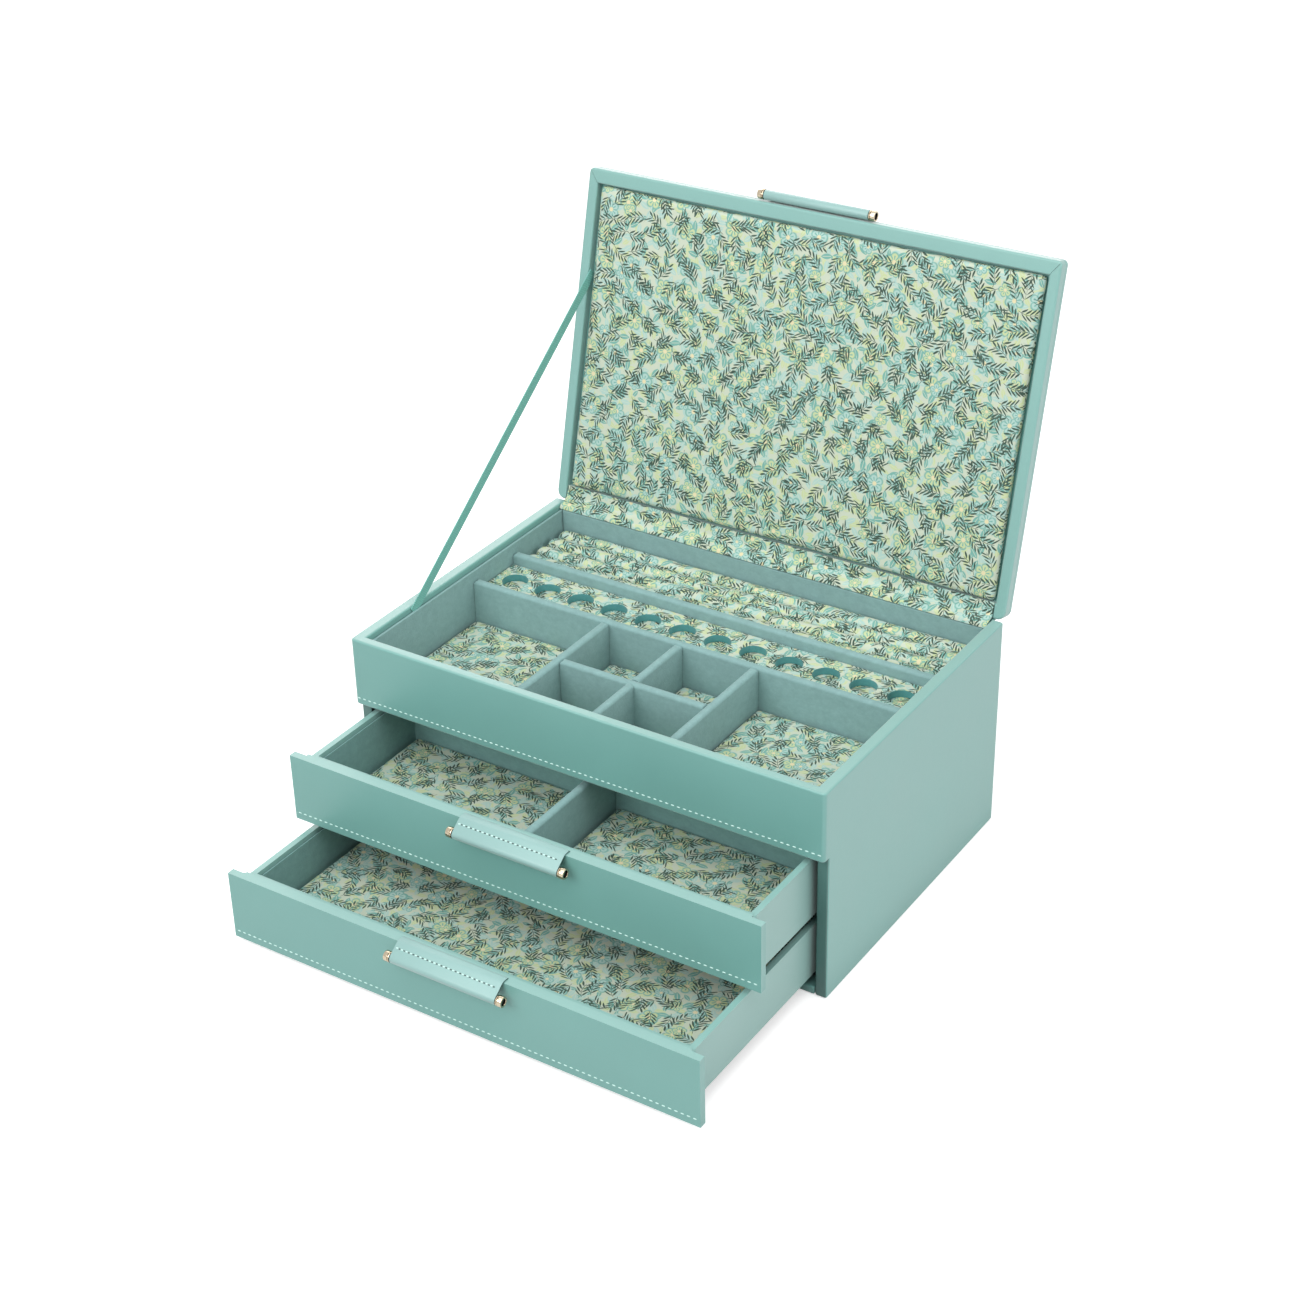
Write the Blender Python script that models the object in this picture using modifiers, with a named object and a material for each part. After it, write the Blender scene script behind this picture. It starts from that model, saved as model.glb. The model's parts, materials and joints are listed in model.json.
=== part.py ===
"""A tiered jewellery box: a leather-wrapped case with a partitioned tray under a hinged lid, and two drawers
below it. It is modelled as it stands in use, with the lid open against its ribbon and both drawers pulled out.

The origin is the centre of the case's underside. +X is to the right, +Y to the back, +Z up. All lengths are in
metres.
"""

import math

import bmesh
import bpy
from mathutils import Vector

# Clearances
fit_gap = 0.0003
side_run_gap = 0.0028
cut_overrun = 0.0020

# Case
case_width = 0.3030
case_depth = 0.2020
wall_thick = 0.0070
back_thick = 0.0055
front_thick = 0.0045
front_step_thick = 0.0015
base_thick = 0.0050
bed_thick = 0.0053
bed_setback = 0.0080
bed_inset = 0.0010
shelf_thick = 0.0042
shelf_setback = 0.0080
tray_floor_thick = 0.0035
tray_depth = 0.0388
back_rebate = 0.0010
board_edge = 0.0008

# Tray fittings
liner_thick = 0.0015
liner_drop = 0.0034
divider_thick = 0.0050
divider_height = 0.0287
divider_edge = 0.0016
cells_depth = 0.0942
stud_bay_depth = 0.0347
small_cell_width = 0.0438
pad_thick = 0.0035
pad_edge = 0.0012
roll_count = 4
roll_height = 0.0248
roll_edge = 0.0040
roll_end_gap = 0.0012
stud_panel_thick = 0.0045
stud_panel_drop = 0.0061
stud_hole_radius = 0.00785
stud_hole_pitch = 0.0234
stud_hole_count = 12

# Drawers
lower_box_height = 0.0318
upper_box_height = 0.0368
lower_headroom = 0.0022
front_lip = 0.0022
upper_front_drop = 0.0023
lower_front_drop = 0.0080
tray_front_reveal = 0.0013
drawer_front_inset = 0.0015
drawer_step_thick = 0.0017
drawer_wall_thick = 0.0035
drawer_floor_thick = 0.0020
upper_drawer_depth = 0.0970
lower_back_gap = 0.0015
drawer_liner_thick = 0.0010
drawer_liner_drop = 0.0026
drawer_divider_drop = 0.0022
upper_pull = 0.0601
lower_pull = 0.11806

# Lid
lid_length = 0.2025
lid_frame_depth = 0.0051
lid_board_thick = 0.0040
lid_rail_inset = 0.0005
lid_front_rail = 0.0085
lid_back_rail = 0.0087
lid_back_rebate = 0.0010
lid_pad_thick = 0.0042
lid_open_angle = math.radians(103.67)

# Hinge strips and lid ribbon
strip_thick = 0.0006
strip_bend = 0.0012
strip_bend_steps = 4
spine_foot = 0.0240
spine_side_inset = 0.0010
spine_head_margin = 0.0006
ribbon_width = 0.0065
ribbon_thick = 0.0004
ribbon_foot_setback = 0.0530
ribbon_head_along = 0.1395
ribbon_head_depth = 0.0020

# Handles
tab_width = 0.0670
tab_thick = 0.0007
tab_gap = 0.0002
tab_leg_back = 0.0042
drawer_tab_leg = 0.0060
tab_bend = 0.0012
tab_bend_steps = 3
rod_radius = 0.0021
rod_overhang = 0.0025
drawer_cap_gap = 0.0026
drawer_rod_drop = 0.0067
lid_rod_drop = 0.0066
cap_radius = 0.0034
cap_length = 0.0047
cap_recess_radius = 0.0022
cap_recess_depth = 0.0008
round_sides = 24
turn_merge = 0.00001
sharp_angle = math.radians(35)

# Heights, from the floor up
bed_low = base_thick + fit_gap
bed_top = bed_low + bed_thick
lower_box_low = bed_top + fit_gap
lower_box_top = lower_box_low + lower_box_height
lower_front_low = lower_box_low - lower_front_drop
lower_front_top = lower_box_top + front_lip
shelf_low = lower_box_top + lower_headroom
shelf_top = shelf_low + shelf_thick
upper_box_low = shelf_top + fit_gap
upper_box_top = upper_box_low + upper_box_height
upper_front_low = upper_box_low - upper_front_drop
upper_front_top = upper_box_top + front_lip
tray_low = upper_front_top + tray_front_reveal
tray_floor_top = tray_low + tray_floor_thick
rim_top = tray_floor_top + tray_depth
fittings_low = tray_floor_top + fit_gap
liner_top = rim_top - liner_drop
divider_top = fittings_low + divider_height
stud_panel_top = divider_top - stud_panel_drop
stud_panel_low = stud_panel_top - stud_panel_thick
back_top = rim_top - back_rebate

# Places across the case
half_width = case_width / 2
inner_x = half_width - wall_thick
fitted_x = inner_x - fit_gap
liner_x = fitted_x - liner_thick
tray_x = liner_x - fit_gap
front_y = -case_depth / 2
back_y = case_depth / 2
case_front_y = front_y + front_thick + fit_gap
case_back_y = back_y - back_thick - fit_gap
tray_front_y = front_y + front_thick + front_step_thick + fit_gap
front_liner_y = tray_front_y + liner_thick
back_liner_y = case_back_y - liner_thick
cells_y = front_liner_y + fit_gap
stud_divider_y = cells_y + cells_depth + fit_gap + divider_thick / 2
stud_bay_y = stud_divider_y + divider_thick / 2
ring_divider_y = stud_bay_y + stud_bay_depth + divider_thick / 2
ring_bay_y = ring_divider_y + divider_thick / 2
side_divider_x = divider_thick + small_cell_width + 2 * fit_gap
cross_divider_y = (cells_y + stud_divider_y - divider_thick / 2 - fit_gap) / 2

leather = (0.22, 0.44, 0.41, 1.0)
suede = (0.16, 0.31, 0.31, 1.0)
print_cloth = (0.50, 0.62, 0.50, 1.0)
ribbon_cloth = (0.20, 0.44, 0.41, 1.0)
dark_lining = (0.02, 0.03, 0.03, 1.0)
gold = (0.86, 0.66, 0.48, 1.0)
looks = {
    "leather": (leather, 0.45, 0.0),
    "suede": (suede, 0.95, 0.0),
    "cloth": (print_cloth, 0.85, 0.0),
    "ribbon": (ribbon_cloth, 0.80, 0.0),
    "lining": (dark_lining, 0.90, 0.0),
    "metal": (gold, 0.22, 1.0),
}


def clear_scene():
    for obj in list(bpy.data.objects):
        bpy.data.objects.remove(obj, do_unlink=True)


def new_collection(name, hidden=False):
    collection = bpy.data.collections.new(name)
    bpy.context.scene.collection.children.link(collection)
    collection.hide_render = hidden
    return collection


def file_in(obj, collection):
    for other in list(obj.users_collection):
        other.objects.unlink(obj)
    collection.objects.link(obj)


def give_look(obj, look):
    colour, roughness, metallic = looks[look]
    material = bpy.data.materials.new(obj.name)
    material.use_nodes = True
    shader = material.node_tree.nodes["Principled BSDF"]
    shader.inputs["Base Color"].default_value = colour
    shader.inputs["Roughness"].default_value = roughness
    shader.inputs["Metallic"].default_value = metallic
    obj.data.materials.append(material)


def new_frame(name, home, shift, turn):
    """An empty that carries a moving body. home is where it stands with the box shut."""
    empty = bpy.data.objects.new(name, None)
    box_pieces.objects.link(empty)
    empty.location = Vector(home) + Vector(shift)
    empty.rotation_euler = (turn, 0, 0)
    homes[name] = Vector(home)
    return empty


def attach(obj, frame):
    """Parent obj, placed as with the box shut, to a moving frame."""
    if frame is None:
        return
    obj.parent = frame
    obj.location = obj.location - homes[frame.name]


def cuboid(name, low, high, frame=None):
    low = Vector(low)
    high = Vector(high)
    bpy.ops.mesh.primitive_cube_add(size=1, location=(low + high) / 2)
    obj = bpy.context.object
    obj.name = name
    obj.scale = high - low
    bpy.ops.object.transform_apply(location=False, rotation=False, scale=True)
    attach(obj, frame)
    return obj


def bevel(obj, width, segments=1):
    rounding = obj.modifiers.new("Edges", "BEVEL")
    rounding.width = width
    rounding.segments = segments
    rounding.limit_method = "ANGLE"


def board(name, low, high, look, frame=None, edge=board_edge, segments=1):
    obj = cuboid(name, low, high, frame)
    bevel(obj, edge, segments)
    give_look(obj, look)
    file_in(obj, box_pieces)
    return obj


def slab(name, half_x, y_span, z_span, look, frame=None, edge=board_edge, segments=1):
    """A board that is centred on the box's middle plane."""
    low = (-half_x, y_span[0], z_span[0])
    high = (half_x, y_span[1], z_span[1])
    return board(name, low, high, look, frame, edge, segments)


def boolean(obj, other, operation):
    join = obj.modifiers.new(other.name, "BOOLEAN")
    join.operation = operation
    join.object = other
    join.solver = "EXACT"
    other.display_type = "WIRE"
    other.hide_render = True
    file_in(other, cutters)


def cut_box(obj, name, low, high, frame=None):
    boolean(obj, cuboid(name, low, high, frame), "DIFFERENCE")


def cylinder(name, radius, length, centre):
    bpy.ops.mesh.primitive_cylinder_add(vertices=round_sides, radius=radius, depth=length, location=centre)
    obj = bpy.context.object
    obj.name = name
    obj.data.shade_smooth()
    obj.data.set_sharp_from_angle(angle=sharp_angle)
    return obj


def rod_mesh(name, radius, length, centre, frame=None):
    """A cylinder along X."""
    obj = cylinder(name, radius, length, centre)
    obj.rotation_euler = (0, math.pi / 2, 0)
    attach(obj, frame)
    return obj


def rounded(points, radius, steps):
    """The polyline through (y, z) points, with each corner replaced by a short curve."""
    places = [Vector(point) for point in points]
    path = [places[0]]
    for before, corner, after in zip(places, places[1:], places[2:]):
        reach_in = min(radius, (before - corner).length / 2)
        reach_out = min(radius, (after - corner).length / 2)
        start = corner + (before - corner).normalized() * reach_in
        end = corner + (after - corner).normalized() * reach_out
        for step in range(steps + 1):
            share = step / steps
            left = start.lerp(corner, share)
            right = corner.lerp(end, share)
            path.append(left.lerp(right, share))
    path.append(places[-1])
    return path


def strip(name, path, half_x, thick, frame=None):
    """A flexible strip: a line of (y, z) points drawn out along X and thickened about itself."""
    mesh = bpy.data.meshes.new(name)
    shape = bmesh.new()
    home = homes[frame.name] if frame else Vector((0, 0, 0))
    verts = [shape.verts.new((-half_x, y - home.y, z - home.z)) for y, z in path]
    edges = [shape.edges.new(pair) for pair in zip(verts, verts[1:])]
    drawn = bmesh.ops.extrude_edge_only(shape, edges=edges)
    moved = [item for item in drawn["geom"] if isinstance(item, bmesh.types.BMVert)]
    bmesh.ops.translate(shape, verts=moved, vec=(2 * half_x, 0, 0))
    bmesh.ops.recalc_face_normals(shape, faces=shape.faces)
    shape.to_mesh(mesh)
    shape.free()
    obj = bpy.data.objects.new(name, mesh)
    box_pieces.objects.link(obj)
    if frame:
        obj.parent = frame
    skin = obj.modifiers.new("Thickness", "SOLIDIFY")
    skin.thickness = thick
    skin.offset = 0
    skin.use_even_offset = True
    return obj


def on_lid(along, depth):
    """The (y, z) place of a point on the open lid: along it from the hinge line, and depth behind its rim plane."""
    turn = lid_open_angle
    y = pivot_y - along * math.cos(turn) + depth * math.sin(turn)
    z = pivot_z + along * math.sin(turn) + depth * math.cos(turn)
    return y, z


def make_case():
    side_y = (case_front_y, back_y)
    for side, name in ((-1, "left"), (1, "right")):
        outer = side * half_width
        inner = side * inner_x
        span = sorted((outer, inner))
        board(f"side_panel_{name}", (span[0], side_y[0], 0), (span[1], side_y[1], rim_top), "leather")
    slab("back_panel", fitted_x, (back_y - back_thick, back_y), (0, back_top), "leather")
    slab("base_panel", fitted_x, (case_front_y, case_back_y), (0, base_thick), "leather")
    bed_y = (case_front_y + bed_setback, case_back_y)
    slab("drawer_bed", fitted_x - bed_inset, bed_y, (bed_low, bed_top), "lining")
    shelf_y = (case_front_y + shelf_setback, case_back_y)
    slab("drawer_shelf", fitted_x, shelf_y, (shelf_low, shelf_top), "lining")
    panel = slab("tray_front_panel", half_width, (front_y, front_y + front_thick), (tray_low, rim_top), "leather")
    step_y = (front_y + front_thick / 2, tray_front_y - fit_gap)
    add_step(panel, "tray_front_step", fitted_x, step_y, (tray_low, rim_top))
    slab("tray_floor", fitted_x, (tray_front_y, case_back_y), (tray_low, tray_floor_top), "leather")


def add_step(panel, name, half_x, y_span, z_span, frame=None):
    """The thicker middle of a front, which stands between the walls behind it."""
    step = cuboid(name, (-half_x, y_span[0], z_span[0]), (half_x, y_span[1], z_span[1]), frame)
    bevel(step, board_edge)
    boolean(panel, step, "UNION")


def make_liners():
    liner_z = (fittings_low, liner_top)
    for side, name in ((-1, "left"), (1, "right")):
        span = sorted((side * fitted_x, side * liner_x))
        low = (span[0], tray_front_y, liner_z[0])
        high = (span[1], case_back_y, liner_z[1])
        board(f"tray_liner_{name}", low, high, "suede", edge=liner_thick / 3)
    slab("tray_liner_front", tray_x, (tray_front_y, front_liner_y), liner_z, "suede", edge=liner_thick / 3)
    slab("tray_liner_back", tray_x, (back_liner_y, case_back_y), liner_z, "suede", edge=liner_thick / 3)


def make_dividers():
    height = (fittings_low, divider_top)
    half_thick = divider_thick / 2
    for name, y in (("divider_rings", ring_divider_y), ("divider_studs", stud_divider_y)):
        slab(name, tray_x, (y - half_thick, y + half_thick), height, "suede", edge=divider_edge, segments=2)
    run = (cells_y, stud_divider_y - half_thick - fit_gap)
    lengthwise = (
        ("divider_left", -side_divider_x),
        ("divider_middle", 0),
        ("divider_right", side_divider_x),
    )
    made = {}
    for name, x in lengthwise:
        low = (x - half_thick, run[0], height[0])
        high = (x + half_thick, run[1], height[1])
        made[name] = board(name, low, high, "suede", edge=divider_edge, segments=2)
    reach = side_divider_x - half_thick - fit_gap
    cross_y = (cross_divider_y - half_thick, cross_divider_y + half_thick)
    made["divider_cross"] = slab("divider_cross", reach, cross_y, height, "suede", edge=divider_edge, segments=2)
    middle = (height[0] + height[1]) / 2
    slot = half_thick + fit_gap
    low = (-divider_thick, cross_divider_y - slot, middle - fit_gap / 2)
    high = (divider_thick, cross_divider_y + slot, height[1] + cut_overrun)
    cut_box(made["divider_middle"], "half_lap_above", low, high)
    low = (-slot, cross_y[0] - cut_overrun, height[0] - cut_overrun)
    high = (slot, cross_y[1] + cut_overrun, middle + fit_gap / 2)
    cut_box(made["divider_cross"], "half_lap_below", low, high)


def make_pad(name, low, high, frame=None):
    board(name, low, high, "cloth", frame, edge=pad_edge, segments=2)


def make_cell_pads():
    half_thick = divider_thick / 2
    low_z = fittings_low
    top_z = low_z + pad_thick
    front = cells_y
    back = stud_divider_y - half_thick - fit_gap
    beside = side_divider_x + half_thick + fit_gap
    make_pad("cell_pad_left", (-tray_x, front, low_z), (-beside, back, top_z))
    make_pad("cell_pad_right", (beside, front, low_z), (tray_x, back, top_z))
    inner = half_thick + fit_gap
    outer = side_divider_x - half_thick - fit_gap
    rows = (
        ("front", front, cross_divider_y - half_thick - fit_gap),
        ("back", cross_divider_y + half_thick + fit_gap, back),
    )
    for row, near, far in rows:
        make_pad(f"small_cell_pad_{row}_left", (-outer, near, low_z), (-inner, far, top_z))
        make_pad(f"small_cell_pad_{row}_right", (inner, near, low_z), (outer, far, top_z))


def make_ring_rolls():
    near = ring_bay_y + fit_gap
    far = back_liner_y - fit_gap
    pitch = (far - near + fit_gap) / roll_count
    half_x = tray_x - roll_end_gap + fit_gap
    span_z = (fittings_low, fittings_low + roll_height)
    for index in range(roll_count):
        start = near + index * pitch
        span_y = (start, start + pitch - fit_gap)
        slab(f"ring_roll_{index + 1}", half_x, span_y, span_z, "cloth", edge=roll_edge, segments=3)


def make_stud_strip():
    near = stud_bay_y + fit_gap
    far = stud_bay_y + stud_bay_depth - fit_gap
    block_z = (fittings_low, stud_panel_low - fit_gap)
    slab("stud_block", tray_x, (near, far), block_z, "cloth")
    panel = slab("stud_panel", tray_x, (near, far), (stud_panel_low, stud_panel_top), "cloth")
    centre_y = (near + far) / 2
    centre_z = (stud_panel_low + stud_panel_top) / 2
    for index in range(stud_hole_count):
        x = (index - (stud_hole_count - 1) / 2) * stud_hole_pitch
        depth = stud_panel_thick + 2 * cut_overrun
        centre = (x, centre_y, centre_z)
        boolean(panel, cylinder(f"stud_hole_{index + 1}", stud_hole_radius, depth, centre), "DIFFERENCE")


def make_handle(name, edge_y, top_z, cap_gap, drop, leg_length, frame):
    """A rod in a folded leather tab. The tab's leg is tucked in behind the edge at edge_y, and the tab comes over
    the top at top_z. The rod's caps hang cap_gap in front of the edge. It returns the slot that the leg needs, as
    two corners."""
    lift = tab_gap + tab_thick / 2
    axis = Vector((edge_y - cap_gap - cap_radius, top_z - drop))
    loop_radius = rod_radius + fit_gap + tab_thick / 2
    brow = Vector((edge_y - lift, top_z + lift))
    away = brow - axis
    swing = math.atan2(away.y, away.x) + math.acos(loop_radius / away.length)
    touch = axis + loop_radius * Vector((math.cos(swing), math.sin(swing)))
    leg_y = edge_y + tab_leg_back
    corners = [(leg_y, top_z - leg_length), (leg_y, top_z + lift), brow, touch]
    half_x = tab_width / 2
    tab = strip(f"{name}_handle_tab", rounded(corners, tab_bend, tab_bend_steps), half_x, tab_thick, frame)
    give_look(tab, "leather")
    centre = (0, axis.x, axis.y)
    outer = loop_radius + tab_thick / 2
    boolean(tab, rod_mesh(f"{name}_tab_loop", outer, tab_width, centre, frame), "UNION")
    bore = rod_mesh(f"{name}_tab_bore", rod_radius + fit_gap, tab_width + 2 * cut_overrun, centre, frame)
    boolean(tab, bore, "DIFFERENCE")
    rod = rod_mesh(f"{name}_handle_rod", rod_radius, tab_width + 2 * rod_overhang, centre, frame)
    give_look(rod, "metal")
    file_in(rod, box_pieces)
    for side, end in ((-1, "left"), (1, "right")):
        make_cap(f"{name}_handle_cap_{end}", side, centre, frame)
    slot_half = half_x + fit_gap
    slot_y = tab_thick / 2 + fit_gap
    low = (-slot_half, leg_y - slot_y, top_z - leg_length - fit_gap)
    high = (slot_half, leg_y + slot_y, top_z + cut_overrun)
    return low, high


def make_cap(name, side, centre, frame):
    """A turned end cap: a socket for the rod on its inner side and a shallow recess on its outer face."""
    socket = rod_overhang
    length = cap_length
    floor = length - cap_recess_depth
    profile = [
        (0, floor),
        (cap_recess_radius, floor),
        (cap_recess_radius, length),
        (cap_radius, length),
        (cap_radius, 0),
        (rod_radius + fit_gap, 0),
        (rod_radius + fit_gap, socket),
        (0, socket),
    ]
    mesh = bpy.data.meshes.new(name)
    shape = bmesh.new()
    verts = [shape.verts.new((radius, 0, height)) for radius, height in profile]
    for pair in zip(verts, verts[1:]):
        shape.edges.new(pair)
    shape.to_mesh(mesh)
    shape.free()
    obj = bpy.data.objects.new(name, mesh)
    box_pieces.objects.link(obj)
    turn = obj.modifiers.new("Turn", "SCREW")
    turn.steps = round_sides
    turn.render_steps = round_sides
    turn.use_merge_vertices = True
    turn.merge_threshold = turn_merge
    obj.location = (centre[0] + side * (tab_width / 2 + fit_gap), centre[1], centre[2])
    obj.rotation_euler = (0, side * math.pi / 2, 0)
    attach(obj, frame)
    give_look(obj, "metal")


def make_drawer(name, pull, box_back, box_z, front_z, divided):
    frame = new_frame(f"{name}_drawer_slide", (0, 0, 0), (0, -pull, 0), 0)
    front_x = half_width - drawer_front_inset
    front = slab(
        f"{name}_drawer_front", front_x, (front_y, front_y + front_thick), front_z, "leather", frame
    )
    box_x = inner_x - side_run_gap
    step_back = front_y + front_thick + drawer_step_thick
    step_y = (front_y + front_thick / 2, step_back)
    add_step(front, f"{name}_front_step", box_x, step_y, (box_z[0], front_z[1]), frame)
    slot_low, slot_high = make_handle(
        f"{name}_drawer", front_y, front_z[1], drawer_cap_gap, drawer_rod_drop, drawer_tab_leg, frame
    )
    cut_box(front, f"{name}_tab_slot", slot_low, slot_high, frame)

    box_y = (step_back + fit_gap, box_back)
    box = slab(f"{name}_drawer_box", box_x, box_y, box_z, "leather", frame)
    hollow_x = box_x - drawer_wall_thick
    hollow_y = (box_y[0] + drawer_wall_thick, box_y[1] - drawer_wall_thick)
    floor_z = box_z[0] + drawer_floor_thick
    low = (-hollow_x, hollow_y[0], floor_z)
    high = (hollow_x, hollow_y[1], box_z[1] + cut_overrun)
    cut_box(box, f"{name}_box_hollow", low, high, frame)

    lined_x = hollow_x - fit_gap
    lined_y = (hollow_y[0] + fit_gap, hollow_y[1] - fit_gap)
    lining_z = (floor_z + fit_gap, box_z[1] - drawer_liner_drop)
    liner = slab(
        f"{name}_drawer_liner", lined_x, lined_y, lining_z, "suede", frame, edge=drawer_liner_thick / 3
    )
    free_x = lined_x - drawer_liner_thick
    free_y = (lined_y[0] + drawer_liner_thick, lined_y[1] - drawer_liner_thick)
    low = (-free_x, free_y[0], lining_z[0] - cut_overrun)
    high = (free_x, free_y[1], lining_z[1] + cut_overrun)
    cut_box(liner, f"{name}_liner_hollow", low, high, frame)

    pad_x = free_x - fit_gap
    pad_y = (free_y[0] + fit_gap, free_y[1] - fit_gap)
    pad_z = (lining_z[0], lining_z[0] + pad_thick)
    if not divided:
        make_pad(f"{name}_drawer_pad", (-pad_x, pad_y[0], pad_z[0]), (pad_x, pad_y[1], pad_z[1]), frame)
        return
    half_thick = divider_thick / 2
    divider_z = (lining_z[0], box_z[1] - drawer_divider_drop)
    slab(
        f"{name}_drawer_divider", half_thick, pad_y, divider_z, "suede", frame, edge=divider_edge, segments=2
    )
    inner = half_thick + fit_gap
    make_pad(f"{name}_drawer_pad_left", (-pad_x, pad_y[0], pad_z[0]), (-inner, pad_y[1], pad_z[1]), frame)
    make_pad(f"{name}_drawer_pad_right", (inner, pad_y[0], pad_z[0]), (pad_x, pad_y[1], pad_z[1]), frame)


def make_lid():
    frame = new_frame("lid_pivot", (0, pivot_y, pivot_z), (0, 0, 0), -lid_open_angle)
    low_z = rim_top + fit_gap
    frame_top = low_z + lid_frame_depth
    lid_front = pivot_y - lid_length
    ring = slab("lid_frame", half_width, (lid_front, pivot_y), (low_z, frame_top), "leather", frame)
    opening_x = inner_x + lid_rail_inset
    opening_y = (lid_front + lid_front_rail, pivot_y - lid_back_rail)
    low = (-opening_x, opening_y[0], low_z - cut_overrun)
    high = (opening_x, opening_y[1], frame_top + cut_overrun)
    cut_box(ring, "lid_frame_opening", low, high, frame)
    low = (-opening_x, opening_y[1] - cut_overrun, low_z - cut_overrun)
    high = (opening_x, pivot_y + cut_overrun, low_z + lid_back_rebate)
    cut_box(ring, "lid_lining_rebate", low, high, frame)

    board_low = frame_top + fit_gap
    board_top = board_low + lid_board_thick
    cover = slab("lid_board", half_width, (lid_front, pivot_y), (board_low, board_top), "leather", frame)
    slot_low, slot_high = make_handle(
        "lid", lid_front, board_top, fit_gap, lid_rod_drop, lid_board_thick / 2, frame
    )
    cut_box(cover, "lid_tab_slot", slot_low, slot_high, frame)

    pad_x = inner_x - ribbon_thick - 2 * fit_gap
    pad_top = board_low - fit_gap
    pad_y = (opening_y[0] + fit_gap, opening_y[1] - fit_gap)
    low = (-pad_x, pad_y[0], pad_top - lid_pad_thick)
    make_pad("lid_pad", low, (pad_x, pad_y[1], pad_top), frame)


def make_hinge_strips():
    lift = fit_gap + strip_thick / 2
    over_rim = back_top + lift
    rise = lid_back_rebate + fit_gap / 2 - lift
    fold_along = (over_rim - pivot_z - rise * math.cos(lid_open_angle)) / math.sin(lid_open_angle)
    points = [
        (back_liner_y, liner_top + lift),
        (back_y - back_thick - lift, over_rim),
        on_lid(fold_along, rise),
        on_lid(lid_back_rail, rise),
    ]
    lining = strip("hinge_lining", rounded(points, strip_bend, strip_bend_steps), fitted_x, strip_thick)
    give_look(lining, "cloth")

    turn = lid_open_angle
    corner_depth = lift * (1 - math.cos(turn)) / math.sin(turn)
    lid_thick = lid_frame_depth + fit_gap + lid_board_thick
    points = [
        (back_y + lift, rim_top - spine_foot),
        on_lid(-lift, corner_depth),
        on_lid(-lift, lid_thick - spine_head_margin),
    ]
    half_x = half_width - spine_side_inset
    spine = strip("hinge_spine", rounded(points, strip_bend, strip_bend_steps), half_x, strip_thick)
    give_look(spine, "leather")


def make_ribbon():
    foot = Vector((front_y + ribbon_foot_setback, liner_top + fit_gap + ribbon_width / 2))
    head = Vector(on_lid(ribbon_head_along, ribbon_head_depth))
    run = head - foot
    x = -inner_x + fit_gap + ribbon_thick / 2
    middle = (foot + head) / 2
    low = (x - ribbon_thick / 2, middle.x - run.length / 2, middle.y - ribbon_width / 2)
    high = (x + ribbon_thick / 2, middle.x + run.length / 2, middle.y + ribbon_width / 2)
    ribbon = cuboid("lid_ribbon", low, high)
    ribbon.rotation_euler = (math.atan2(run.y, run.x), 0, 0)
    give_look(ribbon, "ribbon")
    file_in(ribbon, box_pieces)


homes = {}
pivot_y = back_y
pivot_z = rim_top + fit_gap / 2
clear_scene()
box_pieces = new_collection("Tiered jewellery box")
cutters = new_collection("Cutters", hidden=True)

make_case()
make_liners()
make_dividers()
make_cell_pads()
make_ring_rolls()
make_stud_strip()
lower_back = back_y - back_thick - lower_back_gap
lower_front_z = (lower_front_low, lower_front_top)
make_drawer("lower", lower_pull, lower_back, (lower_box_low, lower_box_top), lower_front_z, False)
upper_back = front_y + upper_drawer_depth
upper_front_z = (upper_front_low, upper_front_top)
make_drawer("upper", upper_pull, upper_back, (upper_box_low, upper_box_top), upper_front_z, True)
make_lid()
make_hinge_strips()
make_ribbon()
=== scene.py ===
"""Dresses the tiered jewellery box: leather-wrapped boards, suede linings, padded printed cotton, a ribbon,
stitching and handles with gilt end caps. One operator makes each group of pieces and one sets the stage.

All lengths are in metres. +X is to the right, +Y to the back, where the lid is hinged, and +Z up.
"""

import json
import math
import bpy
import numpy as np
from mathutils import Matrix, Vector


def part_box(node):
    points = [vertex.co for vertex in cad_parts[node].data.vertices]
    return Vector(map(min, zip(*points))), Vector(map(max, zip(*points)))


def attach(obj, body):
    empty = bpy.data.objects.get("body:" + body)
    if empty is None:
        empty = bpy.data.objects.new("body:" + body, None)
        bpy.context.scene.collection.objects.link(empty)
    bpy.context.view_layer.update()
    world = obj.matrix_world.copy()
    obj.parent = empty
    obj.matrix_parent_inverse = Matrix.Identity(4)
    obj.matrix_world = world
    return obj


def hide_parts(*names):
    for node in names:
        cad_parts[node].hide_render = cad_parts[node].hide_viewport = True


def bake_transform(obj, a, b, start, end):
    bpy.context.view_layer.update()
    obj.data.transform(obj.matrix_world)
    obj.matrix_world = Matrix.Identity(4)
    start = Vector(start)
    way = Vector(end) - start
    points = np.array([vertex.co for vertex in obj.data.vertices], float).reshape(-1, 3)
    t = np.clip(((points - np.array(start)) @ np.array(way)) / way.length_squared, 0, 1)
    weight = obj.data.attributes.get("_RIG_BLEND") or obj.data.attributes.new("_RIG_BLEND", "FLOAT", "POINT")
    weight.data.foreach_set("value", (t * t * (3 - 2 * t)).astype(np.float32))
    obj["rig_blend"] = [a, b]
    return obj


bl_info = {
    "name": "Tiered jewellery box",
    "version": (1, 0, 0),
    "blender": (4, 5, 0),
    "location": "3D View > Sidebar > Jewellery box",
    "description": "Models the leather, suede, cloth and metal of a tiered jewellery box",
    "category": "Object",
}

from contextlib import contextmanager

import bmesh
import bpy
from bpy.props import FloatProperty, FloatVectorProperty, IntProperty, PointerProperty
from bpy.types import Operator, Panel, PropertyGroup
from mathutils import Matrix, Vector, noise

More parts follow.
